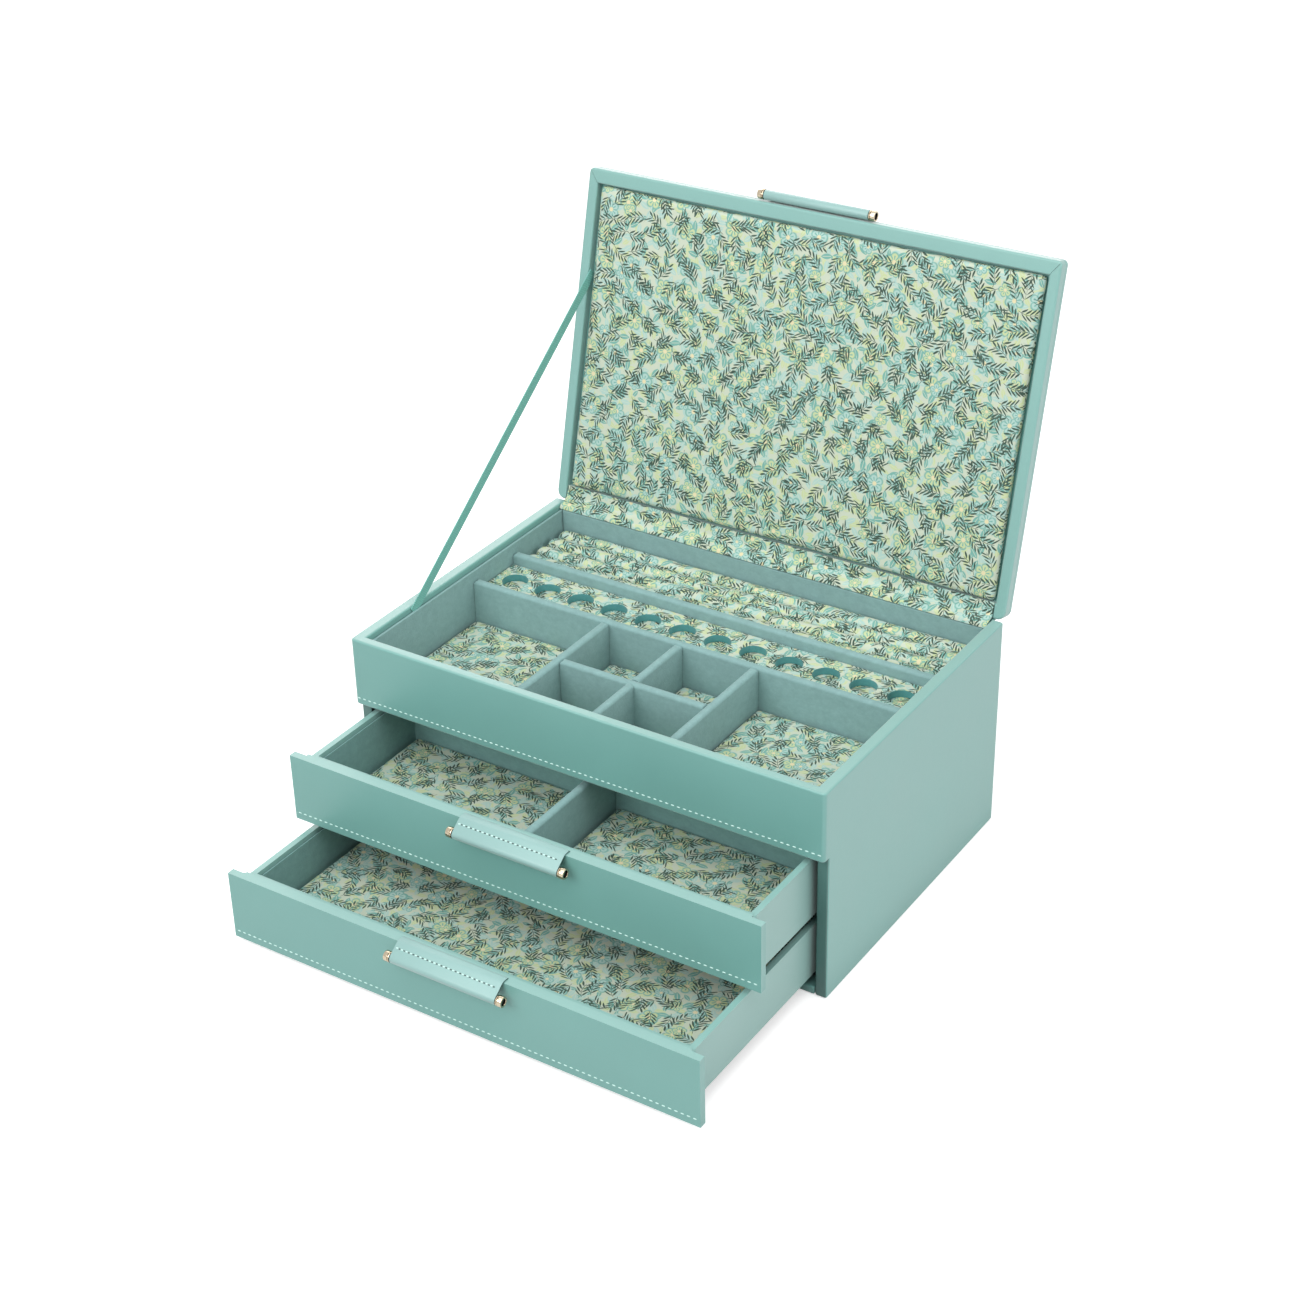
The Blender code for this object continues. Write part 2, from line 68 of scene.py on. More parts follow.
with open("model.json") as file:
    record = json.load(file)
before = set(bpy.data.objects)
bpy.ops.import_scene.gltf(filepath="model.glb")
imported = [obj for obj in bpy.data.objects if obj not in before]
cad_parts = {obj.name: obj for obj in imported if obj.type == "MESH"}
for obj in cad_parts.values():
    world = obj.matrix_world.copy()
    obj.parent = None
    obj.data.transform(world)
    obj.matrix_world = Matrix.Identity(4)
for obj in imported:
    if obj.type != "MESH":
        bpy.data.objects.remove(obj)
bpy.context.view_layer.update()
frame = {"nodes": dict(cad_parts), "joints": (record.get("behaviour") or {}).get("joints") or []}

hinge = next(joint for joint in frame["joints"] if joint["name"] == "lid_hinge")
hinge_line = Vector(hinge["pos_m"])
lid_angle = math.radians(hinge["range_deg"][1])
lid_turn = Matrix.Rotation(-lid_angle, 4, "X")
lid_lift = Matrix.Translation(hinge_line) @ lid_turn @ Matrix.Translation(-hinge_line)
drawers = ("upper_drawer", "lower_drawer")
x_axis, y_axis, z_axis = Vector((1, 0, 0)), Vector((0, 1, 0)), Vector((0, 0, 1))
touching = 0.0001  # an edge no further than this from a plane lies on it
overrun = 0.01  # by how much a cutter reaches past what it cuts


def shade(red, green, blue):
    """A screen colour, from 0 to 255, as the linear colour that materials use."""
    levels = [level / 255 for level in (red, green, blue)]
    linear = [level / 12.92 if level <= 0.04045 else ((level + 0.055) / 1.055) ** 2.4 for level in levels]
    return (*linear, 1.0)


def size_setting(name, description, default):
    details = {"min": 0, "precision": 5, "unit": "LENGTH", "subtype": "DISTANCE"}
    return FloatProperty(name=name, description=description, default=default, **details)


def colour_setting(name, description, default):
    details = {"size": 4, "min": 0, "max": 1, "subtype": "COLOR"}
    return FloatVectorProperty(name=name, description=description, default=default, **details)


class BoxSizes(PropertyGroup):
    """Sizes that the finished box adds to those of its plain model."""

    rim_radius: size_setting("Rim radius", "Rounding of the leather-wrapped edges of case and lid", 0.0013)
    corner_radius: size_setting("Corner radius", "Rounding of the tray front's upright corners", 0.0022)
    front_radius: size_setting("Front radius", "Rounding of the edges of the drawer fronts", 0.0013)
    box_radius: size_setting("Drawer rim radius", "Rounding of the rims of the drawer boxes", 0.0010)
    divider_radius: size_setting("Divider radius", "Rounding of the tops of the dividers", 0.0018)
    front_thick: size_setting("Front thickness", "Thickness of the boards at the front", 0.0045)
    flare_radius: size_setting("Flare radius", "Hollow curve from a drawer's side to its front", 0.0042)
    drawer_wall: size_setting("Drawer wall", "Thickness of the drawer walls", 0.0035)
    drawer_floor: size_setting("Drawer floor", "Thickness of the drawer floor", 0.0020)
    lid_front_corner: size_setting("Lid front corner", "Corner radius at the lid's front", 0.0030)
    lid_back_corner: size_setting("Lid hinge corner", "Corner radius at the lid's hinged side", 0.0050)
    side_rail: size_setting("Lid side rail", "Width of the lid frame's side rails", 0.0065)
    front_rail: size_setting("Lid front rail", "Width of the lid frame's front rail", 0.0085)
    back_rail: size_setting("Lid back rail", "Width of the lid frame's back rail", 0.0087)
    stitch_pitch: size_setting("Stitch pitch", "Distance from stitch to stitch on the fronts", 0.00367)
    stitch_length: size_setting("Stitch length", "Length of one stitch", 0.0022)
    stitch_width: size_setting("Thread width", "Width of the thread", 0.00085)
    stitch_rise: size_setting("Stitch height", "Height of the stitches above a front's lower edge", 0.0044)
    tab_thick: size_setting("Tab thickness", "Thickness of the leather of the handle tabs", 0.0008)
    tab_setback: size_setting("Tab setback", "Depth at which a tab goes into the top edge", 0.0042)
    cap_radius: size_setting("Cap radius", "Radius of the metal caps on the handle rods", 0.0030)
    cap_length: size_setting("Cap length", "Length of the metal caps on the handle rods", 0.0037)
    ribbon_width: size_setting("Ribbon width", "Width of the ribbon that holds the lid", 0.0065)
    hole_radius: size_setting("Stud hole radius", "Radius of the holes for studs", 0.00785)
    hole_pitch: size_setting("Stud hole pitch", "Distance from hole to hole", 0.0234)
    hole_count: IntProperty(name="Stud holes", description="Number of holes for studs", default=12, min=1)


class BoxColours(PropertyGroup):
    """Colours of the finished box."""

    leather: colour_setting("Leather", "Leather of the case, lid and drawers", shade(105, 162, 155))
    # Painted highlight: a lighter, whiter copy of the leather for upward faces, the lid frame and the drawer
    # boxes, where top light and sheen fall.
    edge: colour_setting("Edge leather", "Leather where it is stretched round edges", shade(117, 167, 160))
    suede: colour_setting("Suede", "Suede of the linings and dividers", shade(137, 172, 171))
    # Painted shade: a darker copy of the suede for the drawers, which lie in the tray's shadow.
    drawer_suede: colour_setting("Drawer suede", "Suede that lines the drawers", shade(124, 164, 161))
    ground: colour_setting("Cloth ground", "Ground of the printed cotton", shade(195, 205, 186))
    # Painted highlight: a paler copy of the leather for the handle tabs, standing in for the sheen on them.
    tab: colour_setting("Tab leather", "Leather of the handle tabs", shade(133, 173, 169))
    leaf: colour_setting("Dark leaf", "Dark leaves of the print", shade(62, 81, 71))
    sage: colour_setting("Sage leaf", "Teal leaves of the print", shade(116, 168, 158))
    lime: colour_setting("Lime blossom", "Lime blossoms of the print", shade(190, 202, 156))
    mist: colour_setting("Pale blossom", "Pale blue blossoms of the print", shade(168, 198, 190))
    heart: colour_setting("Blossom heart", "Hearts of the blossoms", shade(216, 206, 168))
    hole: colour_setting("Hole lining", "Lining of the stud holes", shade(86, 150, 150))
    thread: colour_setting("Thread", "Thread of the stitching", shade(206, 240, 233))
    ribbon: colour_setting("Ribbon", "Ribbon that holds the lid", shade(114, 181, 171))
    gilt: colour_setting("Gilt", "Champagne gold of the end caps", shade(198, 184, 160))


# Node making


class Strand:
    """A value or colour on its way between shader nodes. Values can be used in sums."""

    def __init__(self, bench, socket):
        self.bench = bench
        self.socket = socket

    def out(self, name):
        return Strand(self.bench, self.socket.node.outputs[name])

    def maths(self, operation, *others):
        return self.bench.node("ShaderNodeMath", {"operation": operation}, dict(enumerate((self, *others))))

    def __add__(self, other):
        return self.maths("ADD", other)

    __radd__ = __add__

    def __sub__(self, other):
        return self.maths("SUBTRACT", other)

    def __rsub__(self, other):
        return self.bench.node("ShaderNodeMath", {"operation": "SUBTRACT"}, {0: other, 1: self})

    def __mul__(self, other):
        return self.maths("MULTIPLY", other)

    __rmul__ = __mul__

    def __truediv__(self, other):
        return self.maths("DIVIDE", other)

    def __abs__(self):
        return self.maths("ABSOLUTE")

    def __gt__(self, other):
        return self.maths("GREATER_THAN", other)

    def __lt__(self, other):
        return self.maths("LESS_THAN", other)


class Bench:
    """Makes the nodes of one material or world."""

    def __init__(self, owner):
        owner.use_nodes = True
        self.owner = owner
        self.tree = owner.node_tree
        self.tree.nodes.clear()

    def node(self, kind, settings=None, sockets=None, output=0):
        made = self.tree.nodes.new(kind)
        for name, value in (settings or {}).items():
            setattr(made, name, value)
        for name, value in (sockets or {}).items():
            if isinstance(value, Strand):
                self.tree.links.new(value.socket, made.inputs[name])
            else:
                made.inputs[name].default_value = value
        return Strand(self, made.outputs[output]) if made.outputs else None

    def mix(self, share, first, second):
        return self.node("ShaderNodeMix", {"data_type": "RGBA"}, {0: share, 6: first, 7: second}, 2)

    def ramp(self, value, slope, start):
        """The value times the slope, plus the start, kept between 0 and 1."""
        settings = {"operation": "MULTIPLY_ADD", "use_clamp": True}
        return self.node("ShaderNodeMath", settings, {0: value, 1: slope, 2: start})

    def step(self, value, sharpness):
        """0 below zero, 1 above it, with a soft edge."""
        return self.ramp(value, sharpness, 0.5)

    def place(self, kind="Object"):
        return self.node("ShaderNodeTexCoord").out(kind)

    def stretched(self, place, scale):
        return self.node("ShaderNodeMapping", None, {"Vector": place, "Scale": scale})

    def noise(self, place, scale, detail=2.0, roughness=0.5):
        sockets = {"Vector": place, "Scale": scale, "Detail": detail, "Roughness": roughness}
        return self.node("ShaderNodeTexNoise", None, sockets)

    def bands(self, place, direction, scale):
        settings = {"wave_type": "BANDS", "bands_direction": direction}
        return self.node("ShaderNodeTexWave", settings, {"Vector": place, "Scale": scale})

    def bump(self, height, strength, distance, below=None):
        sockets = {"Height": height, "Strength": strength, "Distance": distance}
        if below:
            sockets["Normal"] = below
        return self.node("ShaderNodeBump", None, sockets)

    def finish(self, **sockets):
        titles = [name.replace("_", " ").title().replace("Ior", "IOR") for name in sockets]
        named = dict(zip(titles, sockets.values()))
        surface = self.node("ShaderNodeBsdfPrincipled", None, named)
        self.node("ShaderNodeOutputMaterial", None, {"Surface": surface})
        return self.owner


def bench_for(name):
    return Bench(bpy.data.materials.new(name))


def toned(colour, share):
    """A darker or lighter shade of a colour."""
    return (*[level * share for level in colour[:3]], 1.0)


# Finishes


def make_leather(name, colour, sheen=0.35):
    """Smooth calf leather: a fine pebble, faint clouding, and gloss that varies a little."""
    bench = bench_for(name)
    place = bench.place()
    cells = {"Vector": place, "Scale": 1500.0, "Smoothness": 0.6}
    pebble = bench.node("ShaderNodeTexVoronoi", {"feature": "SMOOTH_F1"}, cells)
    creases = bench.noise(place, 420.0, 4.0, 0.6)
    clouds = bench.noise(place, 16.0, 3.0)
    fibres = bench.noise(place, 900.0)
    tint = bench.mix(clouds, toned(colour, 0.93), toned(colour, 1.07))
    tint = bench.mix(fibres * 0.22, tint, toned(colour, 0.86))
    normal = bench.bump(creases, 0.10, 0.0002, bench.bump(pebble, 0.16, 0.00012))
    return bench.finish(
        base_color=tint,
        roughness=clouds * 0.10 + creases * 0.08 + 0.34,
        normal=normal,
        specular_ior_level=0.8,
        sheen_weight=sheen,
        sheen_roughness=0.5,
    )


def make_suede(name, colour):
    """Suede with a short nap that is brushed lighter and darker."""
    bench = bench_for(name)
    place = bench.place()
    nap = bench.noise(place, 800.0, 3.0, 0.7)
    brushed = bench.noise(bench.stretched(place, (1.0, 1.0, 1.3)), 210.0, 4.0, 0.75)
    brushed = bench.step(brushed - 0.5, 1.7)
    tint = bench.mix(brushed, toned(colour, 0.82), toned(colour, 1.14))
    tint = bench.mix(nap * 0.5, tint, toned(colour, 0.72))
    return bench.finish(
        base_color=tint,
        roughness=0.96,
        normal=bench.bump(nap, 0.45, 0.0003),
        specular_ior_level=0.15,
        sheen_weight=0.30,
        sheen_roughness=0.45,
        sheen_tint=(0.80, 0.92, 0.92, 1.0),
    )


def scatter(bench, place, cell, seed, looseness=0.35):
    """One motif to a cell. It gives the place in the motif, turned at random, and two random values."""
    spread = {
        "Vector": place,
        "Scale": (1 / cell,) * 3,
        "Rotation": (0.0, 0.0, seed * 0.83),
        "Location": (seed * 17.31, seed * 5.77, 0.0),
    }
    cells = bench.node("ShaderNodeMapping", None, spread)
    settings = {"voronoi_dimensions": "2D", "feature": "F1"}
    sockets = {"Vector": cells, "Scale": 1.0, "Randomness": looseness}
    nearest = bench.node("ShaderNodeTexVoronoi", settings, sockets)
    between = {0: cells, 1: nearest.out("Position")}
    offset = bench.node("ShaderNodeVectorMath", {"operation": "SUBTRACT"}, between)
    chance = bench.node("ShaderNodeSeparateColor", None, {"Color": nearest.out("Color")})
    turn = {"Vector": offset, "Angle": chance * math.tau}
    turned = bench.node("ShaderNodeVectorRotate", {"rotation_type": "Z_AXIS"}, turn)
    split = bench.node("ShaderNodeSeparateXYZ", None, {"Vector": turned})
    return split, split.out("Y"), chance.out("Green"), chance.out("Blue")


def leaf_pairs(bench, x, y, growth):
    """A bowed stem with pairs of long leaves. growth, from 0 to 1, is how full the leaves are."""
    pitch, width, length, reach, lean, bow = 0.175, 0.041, 0.38, 0.39, math.radians(42), 0.6
    y = y + x * x * bow - 0.05
    beside = abs(y)
    root = x - beside / math.tan(lean) + 0.09
    off_rib = abs((root / pitch).maths("FRACT") - 0.5) * (pitch * math.sin(lean))
    middle = beside * (2 / (length * math.sin(lean))) - 1
    leaf = bench.step((1 - middle * middle) * growth * width - 0.006 - off_rib, 90.0)
    stem = bench.step(growth * 0.016 - 0.006 - beside, 90.0)
    return leaf.maths("MAXIMUM", stem) * bench.step(reach - abs(root), 60.0)


def blossom(bench, x, y, radius):
    """Five round petals. It gives the petals, the lines on them and the heart."""
    out = (x * x + y * y).maths("SQRT")
    petals = abs((y.maths("ARCTAN2", x) * 2.5).maths("COSINE"))
    edge = petals.maths("POWER", 0.5) * (radius * 0.45) + radius * 0.55
    crisp = 7.2 / radius
    whole = bench.step(edge - out, crisp)
    rim = bench.step(out - edge * 0.84, crisp)
    folds = bench.step(0.30 - petals, 8.0)
    rays = bench.step(petals - 0.955, 30.0) * bench.step(radius * 0.62 - out, 30.0)
    lines = rim.maths("MAXIMUM", folds).maths("MAXIMUM", rays)
    return whole, lines, bench.step(radius * 0.22 - out, 40.0)


def make_print(name, colours):
    """Cotton with a scattered garden print: blossoms and broad leaves under drifts of leafy sprigs."""
    bench = bench_for(name)
    place = bench.place("UV")
    growth = bench.ramp(bench.noise(place, 32.0, 1.0), 4.0, -0.4)
    slate = toned(colours.leaf, 1.25)

    def broad_leaves(tint, seed, cell, colour, other):
        x, y, kind, _ = scatter(bench, place, cell, seed, 0.6)
        leaf = bench.step((1 - x * x * 4.6) * 0.20 - abs(y), 40.0)
        vein = bench.step(0.020 - abs(y), 80.0) * bench.step(0.34 - abs(x), 60.0)
        hue = bench.mix(kind > 0.5, colour, other)
        return bench.mix(leaf, tint, bench.mix(vein, hue, colours.ground))

    def sprigs(tint, seed, cell, colour, other):
        x, y, kind, _ = scatter(bench, place, cell, seed)
        return bench.mix(leaf_pairs(bench, x, y, growth), tint, bench.mix(kind > 0.6, colour, other))

    def blossoms(tint, seed, cell, radius, share):
        x, y, kind, there = scatter(bench, place, cell, seed)
        whole, lines, heart = blossom(bench, x, y, radius)
        petal = bench.mix(kind > 0.45, colours.mist, colours.lime)
        petal = bench.mix(lines, petal, colours.sage)
        petal = bench.mix(heart, petal, colours.heart)
        return bench.mix(whole * (there < share), tint, petal)

    tint = bench.mix(bench.noise(place, 120.0), colours.ground, toned(colours.ground, 0.92))
    tint = broad_leaves(tint, 1, 0.0062, colours.sage, colours.lime)
    tint = broad_leaves(tint, 2, 0.0070, colours.lime, colours.mist)
    tint = broad_leaves(tint, 8, 0.0080, colours.mist, colours.sage)
    tint = blossoms(tint, 4, 0.0172, 0.34, 0.85)
    tint = blossoms(tint, 6, 0.0165, 0.25, 0.7)
    tint = sprigs(tint, 3, 0.0142, colours.leaf, slate)
    tint = sprigs(tint, 5, 0.0151, slate, colours.leaf)

    weave = bench.bands(place, "X", 620.0) * 0.5 + bench.bands(place, "Y", 620.0) * 0.5
    normal = bench.bump(bench.noise(place, 85.0, 3.0), 0.30, 0.0008, bench.bump(weave, 0.12, 0.0001))
    return bench.finish(
        base_color=tint,
        roughness=0.82,
        normal=normal,
        specular_ior_level=0.25,
        sheen_weight=0.10,
        sheen_roughness=0.5,
    )


def make_ribbon_weave(name, colour):
    """Fine twill: slanted ribs across a ribbon."""
    bench = bench_for(name)
    ribs = bench.bands(bench.place("UV"), "DIAGONAL", 420.0)
    return bench.finish(
        base_color=bench.mix(ribs, toned(colour, 0.84), toned(colour, 1.10)),
        roughness=0.55,
        normal=bench.bump(ribs, 0.4, 0.0002),
        sheen_weight=0.25,
        sheen_roughness=0.4,
    )


def make_thread(name, colour):
    """Waxed thread, twisted from two plies."""
    bench = bench_for(name)
    plies = bench.bands(bench.place(), "DIAGONAL", 900.0)
    tint = bench.mix(plies, toned(colour, 0.86), colour)
    return bench.finish(base_color=tint, roughness=0.5, normal=bench.bump(plies, 0.3, 0.0001))


def make_gilt(name, colour):
    """Polished champagne-gold plating with a few faint marks."""
    bench = bench_for(name)
    marks = bench.noise(bench.stretched(bench.place(), (6.0, 1.0, 1.0)), 350.0)
    tint = bench.mix(marks * 0.3, colour, toned(colour, 0.85))
    return bench.finish(base_color=tint, roughness=marks * 0.12 + 0.12, metallic=1.0)


def make_painted_shade_lining(name, colour):
    """Near-black paper for the hidden boards, the drawers' undersides and the walls behind the drawers:
    painted shade where deep shadow falls.
    """
    bench = bench_for(name)
    grain = bench.noise(bench.place(), 300.0, 3.0)
    tint = bench.mix(grain, toned(colour, 0.03), toned(colour, 0.06))
    return bench.finish(base_color=tint, roughness=0.9, normal=bench.bump(grain, 0.2, 0.0002))


def finish_of(kind):
    """The finish of that kind, made the first time it is asked for. The plain model has its own finishes."""
    name = f"dressed_{kind}"
    colours = bpy.context.scene.box_colours
    makers = {
        "leather": (make_leather, colours.leather),
        # A paler copy of the leather: painted highlight on the handle tabs.
        "tab_leather": (make_leather, colours.tab),
        # A lighter copy of the leather: painted highlight on upward faces, the lid frame and the drawer
        # boxes.
        "pale_leather": (make_leather, colours.edge, 0.6),
        # A darker leather: painted shade on the walls' front edges below the tray.
        "edge_leather": (make_leather, toned(colours.leather, 0.45), 0.0),
        # Dark edge paint on the tabs' cut edges, and painted shade in the stitch holes.
        "edge_paint": (make_leather, toned(colours.leather, 0.25), 0.0),
        "hole_lining": (make_suede, colours.hole),
        "suede": (make_suede, colours.suede),
        # A darker suede: painted shade inside the drawers.
        "drawer_suede": (make_suede, colours.drawer_suede),
        "printed_cotton": (make_print, colours),
        "ribbon_twill": (make_ribbon_weave, colours.ribbon),
        "thread": (make_thread, colours.thread),
        "gilt": (make_gilt, colours.gilt),
        # A dark gilt: painted shade in the caps' hollows.
        "gilt_shadow": (make_gilt, toned(colours.gilt, 0.12)),
        # Near-black: painted shade on hidden boards, inner walls and undersides.
        "dark_lining": (make_painted_shade_lining, colours.leather),
    }
    maker, *details = makers[kind]
    return bpy.data.materials.get(name) or maker(name, *details)


# Modelling


def clear_selection():
    bpy.ops.object.select_all(action="DESELECT")


def pick(obj):
    clear_selection()
    obj.select_set(True)
    bpy.context.view_layer.objects.active = obj


def added(name):
    """The piece that an operator has just made, under its name."""
    obj = bpy.context.object
    obj.name = obj.data.name = name
    return obj


def settle():
    """Move the new piece's place, turn and size into its mesh."""
    bpy.ops.object.transform_apply(location=True, rotation=True, scale=True)


@contextmanager
def editing(obj, action="SELECT", part="VERT"):
    """Edit mode on one piece, by its vertices, edges or faces, with all of them selected or none."""
    pick(obj)
    bpy.ops.object.mode_set(mode="EDIT")
    bpy.ops.mesh.select_mode(type=part)
    bpy.ops.mesh.select_all(action=action)
    yield
    bpy.ops.object.mode_set(mode="OBJECT")


def select_edges(obj, chosen):
    """Select the edges for whose two ends chosen is true."""
    shape = bmesh.from_edit_mesh(obj.data)
    for edge in shape.edges:
        edge.select_set(chosen(*[vert.co for vert in edge.verts]))
    bmesh.update_edit_mesh(obj.data)


def node_box(name, shut_lid=False):
    """The corners of a plain piece. With shut_lid, they are those that it has with the lid shut."""
    if not shut_lid:
        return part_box(name)
    back = lid_lift.inverted()
    points = [back @ vert.co for vert in frame["nodes"][name].data.vertices]
    low = Vector(min(point[axis] for point in points) for axis in range(3))
    high = Vector(max(point[axis] for point in points) for axis in range(3))
    return low, high


def block(name, low, high):
    low, high = Vector(low), Vector(high)
    clear_selection()
    bpy.ops.mesh.primitive_cube_add(size=1, location=(low + high) / 2)
    obj = added(name)
    obj.scale = high - low
    settle()
    return obj


def apply_modifier(obj, kind, **settings):
    pick(obj)
    modifier = obj.modifiers.new(kind.title(), kind)
    for name, value in settings.items():
        setattr(modifier, name, value)
    bpy.ops.object.modifier_apply(modifier=modifier.name)


def combine(obj, other, operation):
    """Add another solid to obj, cut it out or keep what they share. The other is used up."""
    apply_modifier(obj, "BOOLEAN", operation=operation, object=other, solver="EXACT")
    bpy.data.objects.remove(other, do_unlink=True)
    with editing(obj):
        bpy.ops.mesh.remove_doubles(threshold=0.00001)
        bpy.ops.mesh.dissolve_limited(angle_limit=math.radians(0.5))


def cut_away(obj, low, high):
    combine(obj, block("cutter", low, high), "DIFFERENCE")


def round_edges(obj, radius, segments, chosen):
    """Bevel the edges for which chosen(middle, along, bend) is true. bend is above zero at outer corners."""
    shape = bmesh.new()
    shape.from_mesh(obj.data)
    layers = shape.edges.layers.float
    weight = layers.get("bevel_weight_edge") or layers.new("bevel_weight_edge")
    for edge in shape.edges:
        edge[weight] = 0.0
        if len(edge.link_faces) != 2:
            continue
        bend = edge.calc_face_angle_signed(0)
        start, end = [vert.co for vert in edge.verts]
        if abs(bend) >= math.radians(35) and chosen((start + end) / 2, (end - start).normalized(), bend):
            edge[weight] = 1.0
    shape.to_mesh(obj.data)
    shape.free()
    apply_modifier(
        obj, "BEVEL", width=radius, segments=segments, limit_method="WEIGHT", use_clamp_overlap=True
    )


def outer_corner(middle, along, bend):
    return bend > 0


def upright(middle, along, bend):
    return abs(along.z) > 0.9


def above(height):
    """Chooses the edges that lie on that height or higher."""
    return lambda middle, along, bend: middle.z > height - touching


def shade_by_angle(obj, degrees=40):
    pick(obj)
    bpy.ops.object.shade_smooth_by_angle(angle=math.radians(degrees))


def smooth_board(obj):
    """Smooth shading that keeps the flats of a board flat."""
    shade_by_angle(obj, 38)
    apply_modifier(obj, "WEIGHTED_NORMAL", keep_sharp=True, weight=80)


def halve(obj, place, direction, keep_all=False):
    """Keep the part of obj that lies ahead of a plane, with the cut closed. keep_all only marks the line."""
    with editing(obj):
        bpy.ops.mesh.bisect(
            plane_co=place, plane_no=direction, use_fill=not keep_all, clear_inner=not keep_all
        )


def copy_of(obj, name):
    twin = obj.copy()
    twin.data = obj.data.copy()
    twin.name = twin.data.name = name
    bpy.context.scene.collection.objects.link(twin)
    return twin


def dress(obj, body, nodes, slot, *finishes):
    """Give a finished piece its materials, its body and the plain pieces that it stands for."""
    for finish in finishes:
        obj.data.materials.append(finish_of(finish))
    if body:
        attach(obj, body)
    if nodes:
        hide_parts(*nodes)


def wrap_board(obj, body, node, *finishes):
    """Shade a board and wrap it in leather."""
    smooth_board(obj)
    dress(obj, body, [node], "leather_wrapped_board", *finishes)


def paint_faces(obj, finish, chosen):
    """Give the finish of that number to the faces for which chosen(place, normal) is true."""
    for polygon in obj.data.polygons:
        if chosen(polygon.center, polygon.normal):
            polygon.material_index = finish


# Upward faces: where the lighter leather goes as a painted highlight.
def faces_up(place, normal):
    return normal.z > 0.6


def lift_with_lid(obj):
    obj.data.transform(lid_lift)


def fresh_uvs(mesh, name):
    while mesh.uv_layers:
        mesh.uv_layers.remove(mesh.uv_layers[0])
    return mesh.uv_layers.new(name=name)


def lay_cloth(obj, outward=z_axis):
    """Lay the printed cloth over a pad: flat on top and folded down its sides. The print is in metres."""
    mesh = obj.data
    layer = fresh_uvs(mesh, "cloth")
    tops = max(vert.co.dot(outward) for vert in mesh.vertices)
    for polygon in mesh.polygons:
        side = polygon.normal - outward * polygon.normal.dot(outward)
        folded = side.length > 0.8
        for loop in polygon.loop_indices:
            place = mesh.vertices[mesh.loops[loop].vertex_index].co
            if folded:
                place = place + (tops - place.dot(outward)) * side.normalized()
            layer.data[loop].uv = (place.dot(x_axis), place.dot(y_axis))


def puff(obj, pressure, most, steps=12):
    """Blow a piece up like a cushion by a cloth simulation. No point moves further than most."""
    rest = [vert.co.copy() for vert in obj.data.vertices]
    pick(obj)
    cloth = obj.modifiers.new("Wadding", "CLOTH")
    cloth.settings.quality = 4
    cloth.settings.mass = 0.3
    cloth.settings.use_pressure = True
    cloth.settings.uniform_pressure_force = pressure
    cloth.settings.effector_weights.gravity = 0
    cloth.point_cache.frame_start = 1
    cloth.point_cache.frame_end = steps
    for step in range(1, steps + 1):
        bpy.context.scene.frame_set(step)
    puffed = obj.evaluated_get(bpy.context.evaluated_depsgraph_get()).to_mesh()
    moves = [vert.co - start for vert, start in zip(puffed.vertices, rest)]
    obj.modifiers.remove(cloth)
    bpy.context.scene.frame_set(1)
    for vert, start, move in zip(obj.data.vertices, rest, moves):
        vert.co = start + (move.normalized() * most if move.length > most else move)


def plump(obj, voxel, low, high, outward, pressure=3.0, most=0.0012, evening=3):
    """Fill a plain block like wadding under cloth, within the space from low to high, and even its faces."""
    crown, swells = 0.002, ((42.0, 0.0003), (120.0, 0.00012))
    apply_modifier(obj, "REMESH", mode="VOXEL", voxel_size=voxel)
    puff(obj, pressure, most)
    apply_modifier(obj, "SMOOTH", factor=0.5, iterations=evening)
    apply_modifier(obj, "SUBSURF", levels=1, render_levels=1)
    top = max(vert.co.dot(outward) for vert in obj.data.vertices)
    for vert in obj.data.vertices:
        if vert.co.dot(outward) > top - crown:
            vert.co += outward * sum(noise.noise(vert.co * often) * height for often, height in swells)
        for axis in range(3):
            vert.co[axis] = min(max(vert.co[axis], low[axis]), high[axis])
    pick(obj)
    bpy.ops.object.shade_smooth()


def make_pad(name, body, spare=(0.0, 0.0), proud=0.0008, voxel=0.0021, shut_lid=False, evening=2):
    """A thin crowned pad in a plain one's place. spare is by how much it may outgrow that in x and y."""
    low, high = node_box(name, shut_lid)
    outward = -z_axis if shut_lid else z_axis
    room = Vector((*spare, 0))
    low, high = low - room, high + room
    corner_radius = 0.0010
    obj = block(f"{name}_cloth", low, high)
    round_edges(obj, corner_radius, 3, upright)
    if shut_lid:
        low.z -= proud
    else:
        high.z += proud
    plump(obj, voxel, low, high, outward, evening=evening)
    lay_cloth(obj, outward)
    if shut_lid:
        lift_with_lid(obj)
    dress(obj, body, [name], "printed_cloth", "printed_cotton")


def sweep_strip(name, path, half_x, thick):
    """A strip of leather or cloth that follows (y, z) points: a plane's edge is extruded along them."""
    clear_selection()
    bpy.ops.mesh.primitive_plane_add(size=2, location=(0, 0, 0))
    obj = added(name)
    for vert in obj.data.vertices:
        y, z = path[1] if vert.co.y > 0 else path[0]
        vert.co = (math.copysign(half_x, vert.co.x), y, z)
    far = Vector(path[1])
    with editing(obj, "DESELECT", "EDGE"):
        select_edges(obj, lambda *ends: all((end.yz - far).length < touching / 100 for end in ends))
        for before, after in zip(path[1:], path[2:]):
            step = (0, after[0] - before[0], after[1] - before[1])
            bpy.ops.mesh.extrude_region_move(TRANSFORM_OT_translate={"value": step})
        bpy.ops.mesh.select_all(action="SELECT")
        bpy.ops.mesh.normals_make_consistent(inside=False)
    apply_modifier(obj, "SOLIDIFY", thickness=thick, offset=0, use_even_offset=True)
    return obj


